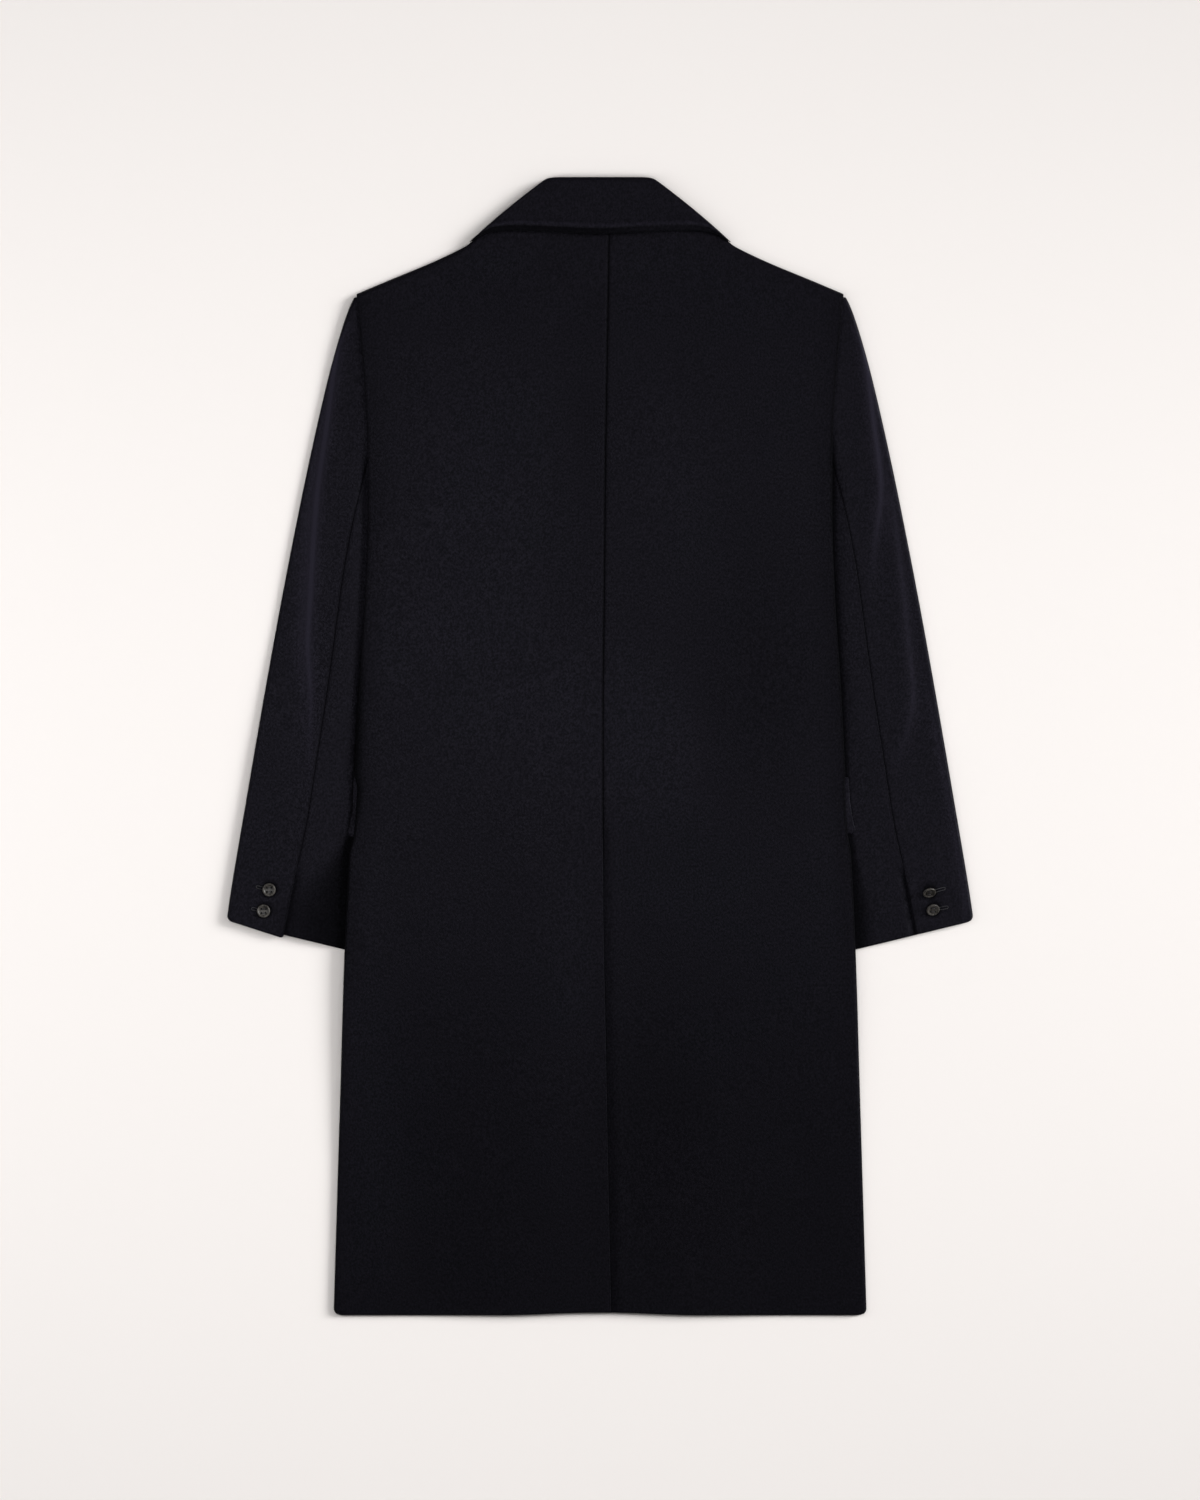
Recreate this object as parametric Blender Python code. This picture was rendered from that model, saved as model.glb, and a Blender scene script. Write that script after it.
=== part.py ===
"""A double-breasted overcoat laid face down, back uppermost, each cut piece a thin cloth wall.

Metres, +Z up. +Y runs from the hem to the collar and +X to the right of the coat seen from above,
so the wearer's left side is at -X. The origin lies on the resting plane, under the coat's middle.
Heights are worked out layer by layer: sleeves, pocket flaps, lapels and buttons rest on the plane,
the two fronts lie over them, the back lies over the fronts and the collar over the back.
"""

import math

import bmesh
import bpy

# Stuffs: word, colour, roughness
WOOL = ("wool", (0.0085, 0.0080, 0.0110), 0.92)
HORN = ("horn", (0.060, 0.054, 0.044), 0.42)

# Driving sizes
HALF_LENGTH = 0.5856        # half of collar fold to hem
CLOTH = 0.0018              # wool wall
COLLAR_CLOTH = 0.0026       # two layers of wool
GAP = 0.0004                # between layers lying on each other
SEAM = 0.0004               # between pieces that meet edge to edge
ARMHOLE_SEAM = 0.0008       # between a sleeve and the body

# Body outline: half width (x) at each height (y), armhole above ARMPIT_Y, side edge below it
SIDE_EDGE = (
    (0.466, 0.2505), (0.433, 0.2475), (0.375, 0.2425), (0.301, 0.2390), (0.238, 0.2390),
    (0.151, 0.2420), (0.058, 0.2480), (-0.055, 0.2540), (-0.107, 0.2580), (-0.210, 0.2630),
    (-0.364, 0.2678), (-0.5856, 0.2745),
)
# Neck and shoulder line: height (y) at each half width (x)
SHOULDER_LINE = (
    (-0.020, 0.5370), (0.055, 0.5370), (0.082, 0.5330), (0.120, 0.5185), (0.132, 0.5145),
    (0.145, 0.5110), (0.178, 0.4957), (0.203, 0.4854), (0.228, 0.4751), (0.2505, 0.4655),
)
# Centre back seam: x at each height (y); it bows to one side
CENTRE_SEAM = (
    (0.540, 0.0092), (0.408, 0.0071), (0.274, 0.0050), (0.151, 0.0040), (0.048, 0.0028),
    (-0.138, 0.0030), (-0.323, 0.0061), (-0.5856, 0.0112),
)
YOKE_Y = 0.455              # rows above this line follow the shoulder, rows below are level
ARMPIT_Y = 0.262
SIDE_ROLL = 0.0035          # reach of the turned side edge
SHOULDER_ROLL = 0.0050      # reach of the turned shoulder edge
ARMHOLE_DROP = 0.0027       # how far the back turns down to the sleeve
HEM_RISE = 0.0026           # hem lift at the centre back
HEM_RISE_X = (0.010, 0.100)
HEM_RISE_Y = -0.450
ARMHOLE_Y = (0.255, 0.300)  # where the turned side edge opens into the armhole
FRONT_ARMHOLE_RISE = 0.0010
NECK_DROP = 0.0012          # turned edge along the neckline
NECK_X = (0.075, 0.095)

# Back levels: height of its lower face
BACK_CHEST = 0.0092
BACK_NECK = 0.0080
BACK_HEM_CENTRE = 0.0070
BACK_HEM_SIDE = 0.0034
BACK_NECK_Y = (0.400, 0.490)
BACK_HEM_X = (0.070, 0.200)
BACK_HEM_Y = (-0.450, -0.210)
VENT_TOP = -0.115
VENT_LAP = 0.040
VENT_RUN = 0.060            # height over which the vent opens
VENT_STEP = (0.004, 0.028)  # where the right half dips under the left, from the seam

# Fronts and lapels
FRONT_LAP = 0.082           # how far each front passes the centre
BREAK_Y = 0.190             # top of the buttoned part, foot of the lapels
NECK_POINT = (0.070, 0.536)
LAPEL_PEAK = (0.150, 0.428)
GORGE_END = (0.106, 0.464)
LAPEL_TOP_Y = 0.522
LAPEL_LIFT = 0.0024
LAPEL_LIFT_X = (0.165, 0.235)
LAPEL_LIFT_Y = (0.110, 0.190)
COLLAR_LIFT = 0.0032
COLLAR_LIFT_X = (0.145, 0.200)
COLLAR_LIFT_Y = (0.390, 0.455)
OVERLAP_GAP = 0.0006
OVERLAP_RUN = (0.062, 0.130)        # where the inner front comes down beside the outer one
GORGE_GAP = 0.0010

# Sleeves: half widths (x) at each height (y)
SLEEVE_OUTER = (
    (0.4620, 0.2530), (0.4545, 0.2568), (0.439, 0.2627), (0.398, 0.2750), (0.357, 0.2853),
    (0.295, 0.2992), (0.254, 0.3078), (0.151, 0.3280), (0.048, 0.3466), (-0.055, 0.3643),
    (-0.158, 0.3815), (-0.180, 0.3846),
)
SLEEVE_SEAM = (
    (0.300, 0.2398), (0.285, 0.2412), (0.269, 0.2455), (0.228, 0.2554), (0.181, 0.2642),
    (0.125, 0.2719), (0.057, 0.2812), (-0.016, 0.2925), (-0.076, 0.3018), (-0.139, 0.3152),
    (-0.194, 0.3262),
)
SLEEVE_INNER = (
    (0.262, 0.222), (0.245, 0.182), (0.225, 0.154), (0.150, 0.158), (0.000, 0.190),
    (-0.2155, 0.2383),
)
FOREARM_SEAM = (
    (0.300, 0.2394), (0.272, 0.2380), (0.262, 0.2340), (0.245, 0.2060), (0.225, 0.1820),
    (0.150, 0.1860), (0.000, 0.2160), (-0.2155, 0.2640),
)
CUFF_SLOPE = 0.2444         # the cuff runs down towards the body
CUFF_CORNER_Y = -0.1797
SLANT_TOP_Y = 0.280         # rows across the sleeve are level above this
CAP_Y = (0.268, 0.330)
SLEEVE_FLAT = 0.0040        # top of the sleeve where the body lies on it
SLEEVE_LOFT = 0.0076        # top of the sleeve where it lies free
SLEEVE_CAP = 0.0080         # top of the sleeve along the armhole
SLEEVE_LIFT = 0.0044
SLEEVE_LIFT_Y = (-0.340, -0.262, 0.285, 0.360)
CLIMB_X = (0.084, 0.105)    # where a front climbs onto the sleeve and the pocket flap
SLEEVE_ROLL = 0.0035
LOFT_SETBACK = 0.006
LOFT_RUN = 0.025

# Pocket flaps, own side positive
FLAP_INNER_X = 0.115
FLAP_OUTER_X = (0.2570, 0.2605)     # at the top and at the bottom
FLAP_TOP_Y = -0.032
FLAP_BOTTOM_Y = -0.093
FLAP_LIFT = 0.0024
FLAP_LIFT_Y = (-0.150, -0.099, -0.025, 0.030)

# Collar
COLLAR_TOP_HALF = 0.057
COLLAR_EDGE_HALF = 0.135
COLLAR_BULGE = 0.010        # how far the slanted sides bow out
COLLAR_CORNER = 0.004       # how far the fold drops at its ends
COLLAR_TOP_Z = 0.0132
COLLAR_ROLL = 0.006
COLLAR_FOLD_REACH = 0.004
COLLAR_FOLD_DROP = 0.003
COLLAR_EDGE = (             # height (y) of the fall's edge at each share of its half width
    (0.0, 0.5268), (0.35, 0.5290), (0.70, 0.5306), (0.85, 0.5285), (1.0, 0.5185),
)
COLLAR_FRONT_FOLD = (0.062, 0.535)
COLLAR_FRONT_POINT = (0.108, 0.4665)
STAND_FOOT_Y = 0.5385
STAND_TOP_Y = 0.5785
STAND_FOOT_HALF = 0.080
STAND_TOP_HALF = 0.048

# Buttons
CUFF_BUTTON_R = 0.0068
CUFF_BUTTON_H = 0.0026
FRONT_BUTTON_R = 0.0120
FRONT_BUTTON_H = 0.0030
BUTTON_LIFT = 0.0033
BUTTON_LIFT_X = (0.085, 0.150)
BUTTON_LIFT_Y = (-0.150, -0.064, 0.190, 0.260)
BUTTON_SIDES = 18
FACE_DOWN = (180.0, 0.0, 0.0)
BUTTON_PROFILE = (          # share of the radius, share of the height
    (0.0, 0.0), (0.72, 0.0), (0.97, 0.30), (1.0, 0.55), (0.90, 1.0), (0.74, 0.96), (0.62, 0.72),
    (0.0, 0.66),
)
FRONT_BUTTON_X = 0.058
FRONT_BUTTON_Y = (0.165, 0.060, -0.045)
CUFF_BUTTONS = (            # name, x, y, tilt about X and about Y in degrees
    ("cuff_button_left_1", -0.3406, -0.1478, 0.0, 0.0),
    ("cuff_button_left_2", -0.3463, -0.1696, 0.0, 0.0),
    ("cuff_button_right_1", 0.3389, -0.1499, 34.0, -12.0),
    ("cuff_button_right_2", 0.3425, -0.1677, 24.0, -8.0),
)

# Mesh steps
SIDE_ANGLES = (30.0, 60.0, 90.0)
TUBE_ANGLES = (0.0, 45.0, 90.0, 135.0, 180.0)
LOWER_SHARES = (0.4, 0.7, 1.0)
TOP_SLEEVE_BENDS = (0.2, 0.5)
FLAT_LIMIT = 0.9            # the flat part of an under sleeve ends inside its seam
FLAP_COLUMNS = (0.0, 0.5, 1.0)
COLLAR_SHARES = (0.0, 0.008, 0.025, 0.07, 0.3, 0.65, 1.0)
COLLAR_COLUMNS = (-0.7, -0.35, 0.0, 0.35, 0.7)
NEAR_COLUMNS = (0.0, 0.012, 0.040)      # from the inner edge of a half
BODY_SHARES = (0.25, 0.50, 0.75, 1.0)   # from there to its side
YOKE_SHARES = (0.10, 0.40, 0.70, 1.0)
BODY_ROWS = (
    0.400, 0.345, 0.300, 0.262, 0.225, 0.190, 0.120, 0.050, -0.024, -0.060, -0.100, -0.145,
    -0.205, -0.260, -0.330, -0.450, -HALF_LENGTH,
)
LAPEL_HEAD = (LAPEL_TOP_Y, 0.500, GORGE_END[1], 0.446, LAPEL_PEAK[1], 0.363)
LEFT_LAPEL_TAIL = (0.300, 0.250, 0.205)
RIGHT_LAPEL_TAIL = (0.335, 0.312)       # stops where the outer front covers it
CAP_ROWS = (0.462, 0.4545, 0.435, 0.390, 0.340, 0.300, 0.275)
ARM_ROWS = (0.2615, 0.245, 0.228, 0.200, 0.140, 0.060, -0.020, -0.090, -0.140, CUFF_CORNER_Y)


def mix(a, b, share):
    return a + (b - a) * share


def ease(start, end, value):
    """0 at start, 1 at end, level at both ends; start may be the larger one."""
    share = min(1.0, max(0.0, (value - start) / (end - start)))
    return share * share * (3.0 - 2.0 * share)


def band(edges, value):
    """Rises between the first two edges and falls between the last two."""
    return ease(edges[0], edges[1], value) * ease(edges[3], edges[2], value)


def table_curve(table, at):
    """Smooth curve through (position, value) rows given in either order."""
    rows = sorted(table)
    if at <= rows[0][0]:
        return rows[0][1]
    if at >= rows[-1][0]:
        return rows[-1][1]
    k = next(i for i in range(len(rows) - 1) if rows[i][0] <= at <= rows[i + 1][0])
    (p0, v0), (p1, v1) = rows[k], rows[k + 1]
    chord = (v1 - v0) / (p1 - p0)

    def slope(i):
        if i == 0 or i == len(rows) - 1:
            return chord
        before = (rows[i][1] - rows[i - 1][1]) / (rows[i][0] - rows[i - 1][0])
        after = (rows[i + 1][1] - rows[i][1]) / (rows[i + 1][0] - rows[i][0])
        return 0.0 if before * after <= 0.0 else 2.0 * before * after / (before + after)

    span = p1 - p0
    t = (at - p0) / span
    return (v0 * (1 + 2 * t) * (1 - t) ** 2 + v1 * t * t * (3 - 2 * t)
            + span * (slope(k) * t * (1 - t) ** 2 - slope(k + 1) * t * t * (1 - t)))


def side_x(y):
    return table_curve(SIDE_EDGE, y)


def roll_line_x(y):
    """Inner edge of a front on its own side: the lapel's roll line, then the straight front edge."""
    if y <= BREAK_Y:
        return -FRONT_LAP
    share = (y - BREAK_Y) / (NECK_POINT[1] - BREAK_Y)
    return mix(-FRONT_LAP, NECK_POINT[0], share)


def lapel_edge_x(y):
    """Outer edge of a lapel: gorge, peak, then straight down to the break."""
    if y >= GORGE_END[1]:
        share = (y - GORGE_END[1]) / (COLLAR_FRONT_FOLD[1] - GORGE_END[1])
        return mix(GORGE_END[0], COLLAR_FRONT_FOLD[0], share)
    if y >= LAPEL_PEAK[1]:
        return mix(LAPEL_PEAK[0], GORGE_END[0], (y - LAPEL_PEAK[1]) / (GORGE_END[1] - LAPEL_PEAK[1]))
    return mix(-FRONT_LAP, LAPEL_PEAK[0], (y - BREAK_Y) / (LAPEL_PEAK[1] - BREAK_Y))


def sleeve_lift(x, y):
    across = ease(*CLIMB_X, x)
    return SLEEVE_LIFT * across * band(SLEEVE_LIFT_Y, y)


def flap_lift(x, y):
    across = ease(*CLIMB_X, x)
    return FLAP_LIFT * across * band(FLAP_LIFT_Y, y)


def button_lift(x, y):
    return BUTTON_LIFT * ease(*reversed(BUTTON_LIFT_X), abs(x)) * band(BUTTON_LIFT_Y, y)


def front_lift(x, y):
    """Lower face of a front above the plane, from what lies under it on its own side."""
    lapel = LAPEL_LIFT * ease(*reversed(LAPEL_LIFT_X), x) * ease(*LAPEL_LIFT_Y, y)
    collar = COLLAR_LIFT * ease(*reversed(COLLAR_LIFT_X), x) * ease(*COLLAR_LIFT_Y, y)
    return max(sleeve_lift(x, y) + flap_lift(x, y), lapel, collar)


def left_front_z(x, y):
    return max(front_lift(x, y), button_lift(x, y))


def right_front_z(x, y):
    edge = -roll_line_x(y)
    over = left_front_z(-x, y) + CLOTH + OVERLAP_GAP
    return max(front_lift(x, y), over * ease(edge + OVERLAP_RUN[1], edge + OVERLAP_RUN[0], x))


def back_z(x, y):
    """Lower face of the back above the plane."""
    upper = mix(BACK_CHEST, BACK_NECK, ease(*BACK_NECK_Y, y))
    hem = mix(BACK_HEM_CENTRE, BACK_HEM_SIDE, ease(*BACK_HEM_X, abs(x)))
    return mix(hem, upper, ease(*BACK_HEM_Y, y))


def sleeve_z(x, y):
    """Top of a sleeve above the plane."""
    foot = mix(SLEEVE_FLAT, SLEEVE_CAP, ease(*CAP_Y, y))
    start = side_x(y) + LOFT_SETBACK
    return mix(foot, SLEEVE_LOFT, ease(start, start + LOFT_RUN, x))


def finish_piece(name, mesh, stuff):
    """Object of one cut piece or button with its own material; stuff is (word, colour, roughness)."""
    word, colour, roughness = stuff
    material = bpy.data.materials.new(f"{name}_{word}")
    material.use_nodes = True
    shader = material.node_tree.nodes["Principled BSDF"]
    shader.inputs["Base Color"].default_value = (*colour, 1.0)
    shader.inputs["Roughness"].default_value = roughness
    shader.inputs["Metallic"].default_value = 0.0
    mesh.materials.append(material)
    piece = bpy.data.objects.new(name, mesh)
    bpy.context.scene.collection.objects.link(piece)
    return piece


def wall(name, outer, inner):
    """Closed cloth wall between two grids of points with the same rows and columns."""
    mesh = bpy.data.meshes.new(name)
    bm = bmesh.new()
    faces = [[[bm.verts.new(p) for p in row] for row in grid] for grid in (outer, inner)]
    rows, columns = len(outer), len(outer[0])
    for grid in faces:
        for r in range(rows - 1):
            for c in range(columns - 1):
                bm.faces.new((grid[r][c], grid[r][c + 1], grid[r + 1][c + 1], grid[r + 1][c]))
    rim = [(0, c) for c in range(columns - 1)] + [(r, columns - 1) for r in range(rows - 1)]
    rim += [(rows - 1, c) for c in range(columns - 1, 0, -1)] + [(r, 0) for r in range(rows - 1, 0, -1)]
    for (r0, c0), (r1, c1) in zip(rim, rim[1:] + rim[:1]):
        bm.faces.new((faces[0][r0][c0], faces[1][r0][c0], faces[1][r1][c1], faces[0][r1][c1]))
    bmesh.ops.recalc_face_normals(bm, faces=bm.faces[:])
    bm.to_mesh(mesh)
    bm.free()
    return finish_piece(name, mesh, WOOL)


def body_rows():
    """(share below the shoulder line or None, level or None, shoulder turn in degrees) per row."""
    rows = [(0.0, None, angle) for angle in reversed(SIDE_ANGLES)]
    rows += [(share, None, 0.0) for share in YOKE_SHARES]
    return rows + [(None, y, 0.0) for y in BODY_ROWS]


def body_grid(side, inner_x, columns, flat_z, seam_z, depth, up):
    """Grid of a back or front half; depth goes into the cloth from its outer face.

    side is -1 for the wearer's left and 1 for the right, inner_x gives the inner edge at a height
    and columns the first steps from it, flat_z the outer face's height, seam_z the height where
    edges meet the other half, and up is 1 when the outer face looks up.
    """
    grid = []
    for share, level, turn in body_rows():
        row = []
        near_y = level if level is not None else mix(SHOULDER_LINE[0][1], YOKE_Y, share)
        far_y = level if level is not None else mix(SHOULDER_LINE[-1][1], YOKE_Y, share)
        near_x = inner_x(near_y)
        far_x = side_x(far_y) - SIDE_ROLL
        near = [near_x + step for step in columns(near_y)]
        across = [(x, 0.0) for x in near] + [(mix(near[-1], far_x, s), 0.0) for s in BODY_SHARES]
        for flat_x, angle in across + [(far_x, turned) for turned in SIDE_ANGLES]:
            x = flat_x + (SIDE_ROLL - depth) * math.sin(math.radians(angle))
            if level is None:
                y = mix(table_curve(SHOULDER_LINE, x) - SHOULDER_ROLL, YOKE_Y, share)
                y += (SHOULDER_ROLL - depth) * math.sin(math.radians(turn))
            else:
                centred = ease(*reversed(HEM_RISE_X), abs(x)) * ease(HEM_RISE_Y, -HALF_LENGTH, level)
                y = level + HEM_RISE * centred
            flat = flat_z(x, y)
            room = abs(flat - seam_z(x, y)) - SEAM / 2
            armhole_drop = ARMHOLE_DROP if up > 0 else FRONT_ARMHOLE_RISE
            side_drop = mix(armhole_drop, room, ease(*reversed(ARMHOLE_Y), far_y))
            top_drop = mix(NECK_DROP, room, ease(*NECK_X, x))
            fall = max((side_drop - depth) * (1.0 - math.cos(math.radians(angle))),
                       (top_drop - depth) * (1.0 - math.cos(math.radians(turn))),
                       key=abs)
            row.append((side * x, y, flat - up * (depth + fall)))
        grid.append(row)
    return grid


def back_columns(y):
    return NEAR_COLUMNS


def front_columns(y):
    """Steps from a front's inner edge to where it climbs."""
    climb = [x - roll_line_x(y) for x in CLIMB_X]
    return [0.0, min(NEAR_COLUMNS[-1], climb[0] / 2), *climb]


def build_body_half(name, side, inner_x, columns, flat_z, seam_z, up):
    outer, inner = (body_grid(side, inner_x, columns, flat_z, seam_z, depth, up)
                    for depth in (0.0, CLOTH))
    return wall(name, outer, inner)


def build_backs():
    def top_z(x, y):
        return back_z(x, y) + CLOTH

    def seam_z(front_z):
        return lambda x, y: (top_z(x, y) + front_z(x, y)) / 2

    def left_inner(y):
        return -table_curve(CENTRE_SEAM, y) + SEAM / 2

    def vent_lap(y):
        return VENT_LAP * ease(VENT_TOP, VENT_TOP - VENT_RUN, y)

    def right_inner(y):
        return table_curve(CENTRE_SEAM, y) + SEAM / 2 - vent_lap(y)

    def vent_columns(y):
        return [0.0, *(vent_lap(y) + step for step in VENT_STEP)]

    def right_top_z(x, y):
        seam = table_curve(CENTRE_SEAM, y)
        dip = ease(seam + VENT_STEP[1], seam + VENT_STEP[0], x)
        lap = dip * ease(VENT_TOP + VENT_RUN, VENT_TOP, y)
        return top_z(x, y) - (CLOTH + GAP) * lap

    build_body_half("back_left", -1, left_inner, back_columns, top_z, seam_z(left_front_z), 1)
    build_body_half("back_right", 1, right_inner, vent_columns, right_top_z, seam_z(right_front_z), 1)


def build_fronts():
    def seam_z(front_z):
        return lambda x, y: (back_z(x, y) + CLOTH + front_z(x, y)) / 2

    for name, side, front_z in (("front_left", -1, left_front_z), ("front_right", 1, right_front_z)):
        build_body_half(name, side, roll_line_x, front_columns, front_z, seam_z(front_z), -1)


def build_lapels():
    for name, side, tail in (("lapel_left", -1, LEFT_LAPEL_TAIL), ("lapel_right", 1, RIGHT_LAPEL_TAIL)):
        rows = (*LAPEL_HEAD, *tail)
        outer = []
        for y in rows:
            near = roll_line_x(y) + SEAM
            if side > 0:
                near = max(near, -roll_line_x(y) + 2 * SEAM)
            far = lapel_edge_x(y) - GORGE_GAP
            outer.append([(side * mix(near, far, share), y, 0.0) for share in (0.0, 0.5, 1.0)])
        inner = [[(x, y, CLOTH) for x, y, _ in row] for row in outer]
        wall(name, outer, inner)


def sleeve_row(outer_y):
    """(outer x, slope) of the line across a sleeve that starts at this height on its outer edge."""
    slope = CUFF_SLOPE * min(1.0, max(0.0, (SLANT_TOP_Y - outer_y) / (SLANT_TOP_Y - CUFF_CORNER_Y)))
    return table_curve(SLEEVE_OUTER, outer_y), slope


def cross(line, outer_x, outer_y, slope):
    """x where a sleeve row meets a lengthwise line."""
    x = outer_x
    for _ in range(12):
        x = line(outer_y - slope * (outer_x - x))
    return x


def seam_line(y):
    return side_x(y) + ARMHOLE_SEAM if y > SLEEVE_SEAM[0][0] else table_curve(SLEEVE_SEAM, y)


def forearm_line(y):
    return side_x(y) + ARMHOLE_SEAM if y > FOREARM_SEAM[0][0] else table_curve(FOREARM_SEAM, y)


def inner_line(y):
    return table_curve(SLEEVE_INNER, y)


def tube_row(side, start_x, bends, edge_x, end_x, outer_x, outer_y, slope, depth):
    """Points from start_x on the upper face past its bends, round the fold at edge_x, to end_x below."""
    toward = 1.0 if edge_x > start_x else -1.0
    reach = min(SLEEVE_ROLL, 0.45 * abs(edge_x - start_x))
    fold_x = edge_x - toward * reach
    points = []

    def add(x, z):
        points.append((side * x, outer_y - slope * (outer_x - x), z))

    def top(x):
        return sleeve_z(x, outer_y - slope * (outer_x - x))

    for x in (start_x, *bends):
        add(x, top(x) - depth)
    half = top(fold_x) / 2
    for angle in TUBE_ANGLES:
        turn = math.radians(angle)
        add(fold_x + toward * (reach - min(depth, 0.8 * reach)) * math.sin(turn),
            half + (half - depth) * math.cos(turn))
    for share in LOWER_SHARES:
        add(mix(fold_x, end_x, share), depth)
    return points


def build_sleeves():
    for label, side in (("left", -1), ("right", 1)):
        top, under = [], []
        for depth in (0.0, CLOTH):
            top_rows, under_rows = [], []
            for y in CAP_ROWS + ARM_ROWS:
                edge, slope = sleeve_row(y)
                start = cross(seam_line, edge, y, slope)
                end = cross(forearm_line, edge, y, slope)
                bends = [mix(start, edge, share) for share in TOP_SLEEVE_BENDS]
                top_rows.append(tube_row(side, start, bends, edge, end, edge, y, slope, depth))
            for y in ARM_ROWS:
                edge, slope = sleeve_row(y)
                start = cross(seam_line, edge, y, slope) - SEAM
                inner = cross(inner_line, edge, y, slope)
                end = cross(forearm_line, edge, y, slope) - SEAM
                flat = min(mix(inner, start, FLAT_LIMIT), cross(side_x, edge, y, slope) + LOFT_SETBACK)
                bends = [mix(start, flat, 0.5), flat, mix(flat, inner, 0.5)]
                under_rows.append(tube_row(side, start, bends, inner, end, edge, y, slope, depth))
            top.append(top_rows)
            under.append(under_rows)
        wall(f"top_sleeve_{label}", *top)
        wall(f"under_sleeve_{label}", *under)


def build_flaps():
    for label, side in (("left", -1), ("right", 1)):
        outer = []
        for share in FLAP_COLUMNS:
            y = mix(FLAP_TOP_Y, FLAP_BOTTOM_Y, share)
            far = mix(FLAP_OUTER_X[0], FLAP_OUTER_X[1], share)
            xs = [mix(FLAP_INNER_X, far, part) for part in FLAP_COLUMNS]
            outer.append([(side * x, y, sleeve_lift(x, y)) for x in xs])
        inner = [[(x, y, z + CLOTH) for x, y, z in row] for row in outer]
        wall(f"pocket_flap_{label}", outer, inner)


def collar_row(share, depth):
    """Around the collar at one share of the way from its fold to its edge."""
    half = mix(COLLAR_TOP_HALF, COLLAR_EDGE_HALF, share) + COLLAR_BULGE * share * (1.0 - share)
    fold = half - COLLAR_ROLL
    end = (mix(COLLAR_FRONT_FOLD[0], COLLAR_FRONT_POINT[0], share),
           mix(COLLAR_FRONT_FOLD[1], COLLAR_FRONT_POINT[1], share))

    def height_y(x):
        part = min(1.0, abs(x) / half)
        return mix(HALF_LENGTH - COLLAR_CORNER * part ** 6, table_curve(COLLAR_EDGE, part), share)

    away = share * (HALF_LENGTH - COLLAR_EDGE[0][1])
    turned = max(0.0, 1.0 - away / COLLAR_FOLD_REACH)
    top = COLLAR_TOP_Z - COLLAR_FOLD_DROP * (1.0 - math.sqrt(1.0 - turned * turned))

    def quarter(side):
        """From the front end, along the lower leaf and round the folded side."""
        points = []
        for part in (1.0, 0.5):
            points.append((side * mix(fold, end[0], part), mix(height_y(fold), end[1], part), depth))
        for angle in reversed(TUBE_ANGLES):
            turn = math.radians(angle)
            x = fold + (COLLAR_ROLL - depth) * math.sin(turn)
            points.append((side * x, height_y(x), top / 2 + (top / 2 - depth) * math.cos(turn)))
        return points

    middle = [(fold * part, height_y(fold * part), top - depth) for part in COLLAR_COLUMNS]
    return quarter(-1) + middle + quarter(1)[::-1]


def build_collar():
    outer, inner = ([collar_row(share, depth) for share in COLLAR_SHARES] for depth in (0.0, COLLAR_CLOTH))
    wall("collar_fall", outer, inner)
    foot = [[(half * part, y, BACK_NECK + CLOTH) for part in (-1.0, 0.0, 1.0)]
            for half, y in ((STAND_FOOT_HALF, STAND_FOOT_Y), (STAND_TOP_HALF, STAND_TOP_Y))]
    under = [[(x, y, BACK_NECK) for x, y, _ in row] for row in foot]
    wall("collar_stand", foot, under)


def button(name, radius, height, place, turn):
    """Turned button: flat foot, round edge, raised rim and a dished middle."""
    bm = bmesh.new()
    rings = []
    for across, up in BUTTON_PROFILE:
        if across == 0.0:
            rings.append([bm.verts.new((0.0, 0.0, up * height))])
            continue
        ring = []
        for k in range(BUTTON_SIDES):
            angle = 2.0 * math.pi * k / BUTTON_SIDES
            x, y = radius * across * math.cos(angle), radius * across * math.sin(angle)
            ring.append(bm.verts.new((x, y, up * height)))
        rings.append(ring)
    for lower, upper in zip(rings, rings[1:]):
        for k in range(BUTTON_SIDES):
            n = k + 1
            corners = [ring[i % len(ring)] for ring, i in ((lower, k), (lower, n), (upper, n), (upper, k))]
            bm.faces.new(list(dict.fromkeys(corners)))
    bmesh.ops.recalc_face_normals(bm, faces=bm.faces[:])
    mesh = bpy.data.meshes.new(name)
    bm.to_mesh(mesh)
    bm.free()
    mesh.polygons.foreach_set("use_smooth", [True] * len(mesh.polygons))
    piece = finish_piece(name, mesh, HORN)
    piece.location = place
    piece.rotation_euler = [math.radians(angle) for angle in turn]
    return piece


def build_buttons():
    for name, x, y, tilt, lean in CUFF_BUTTONS:
        slant = math.hypot(math.sin(math.radians(tilt)), math.sin(math.radians(lean)))
        z = sleeve_z(abs(x), y) + GAP + CUFF_BUTTON_R * slant
        button(name, CUFF_BUTTON_R, CUFF_BUTTON_H, (x, y, z), (tilt, lean, 0.0))
    for label, side in (("left", -1), ("right", 1)):
        for k, y in enumerate(FRONT_BUTTON_Y):
            place = (side * FRONT_BUTTON_X, y, FRONT_BUTTON_H)
            button(f"front_button_{label}_{k + 1}", FRONT_BUTTON_R, FRONT_BUTTON_H, place, FACE_DOWN)


def main():
    for item in list(bpy.data.objects):
        bpy.data.objects.remove(item, do_unlink=True)
    build_sleeves()
    build_flaps()
    build_lapels()
    build_fronts()
    build_backs()
    build_collar()
    build_buttons()


main()
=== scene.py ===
import math
from functools import partial

import bmesh
import bpy
import numpy as np
from bpy.props import FloatProperty, FloatVectorProperty, IntProperty, PointerProperty
from mathutils import Euler, Matrix, Vector


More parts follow.
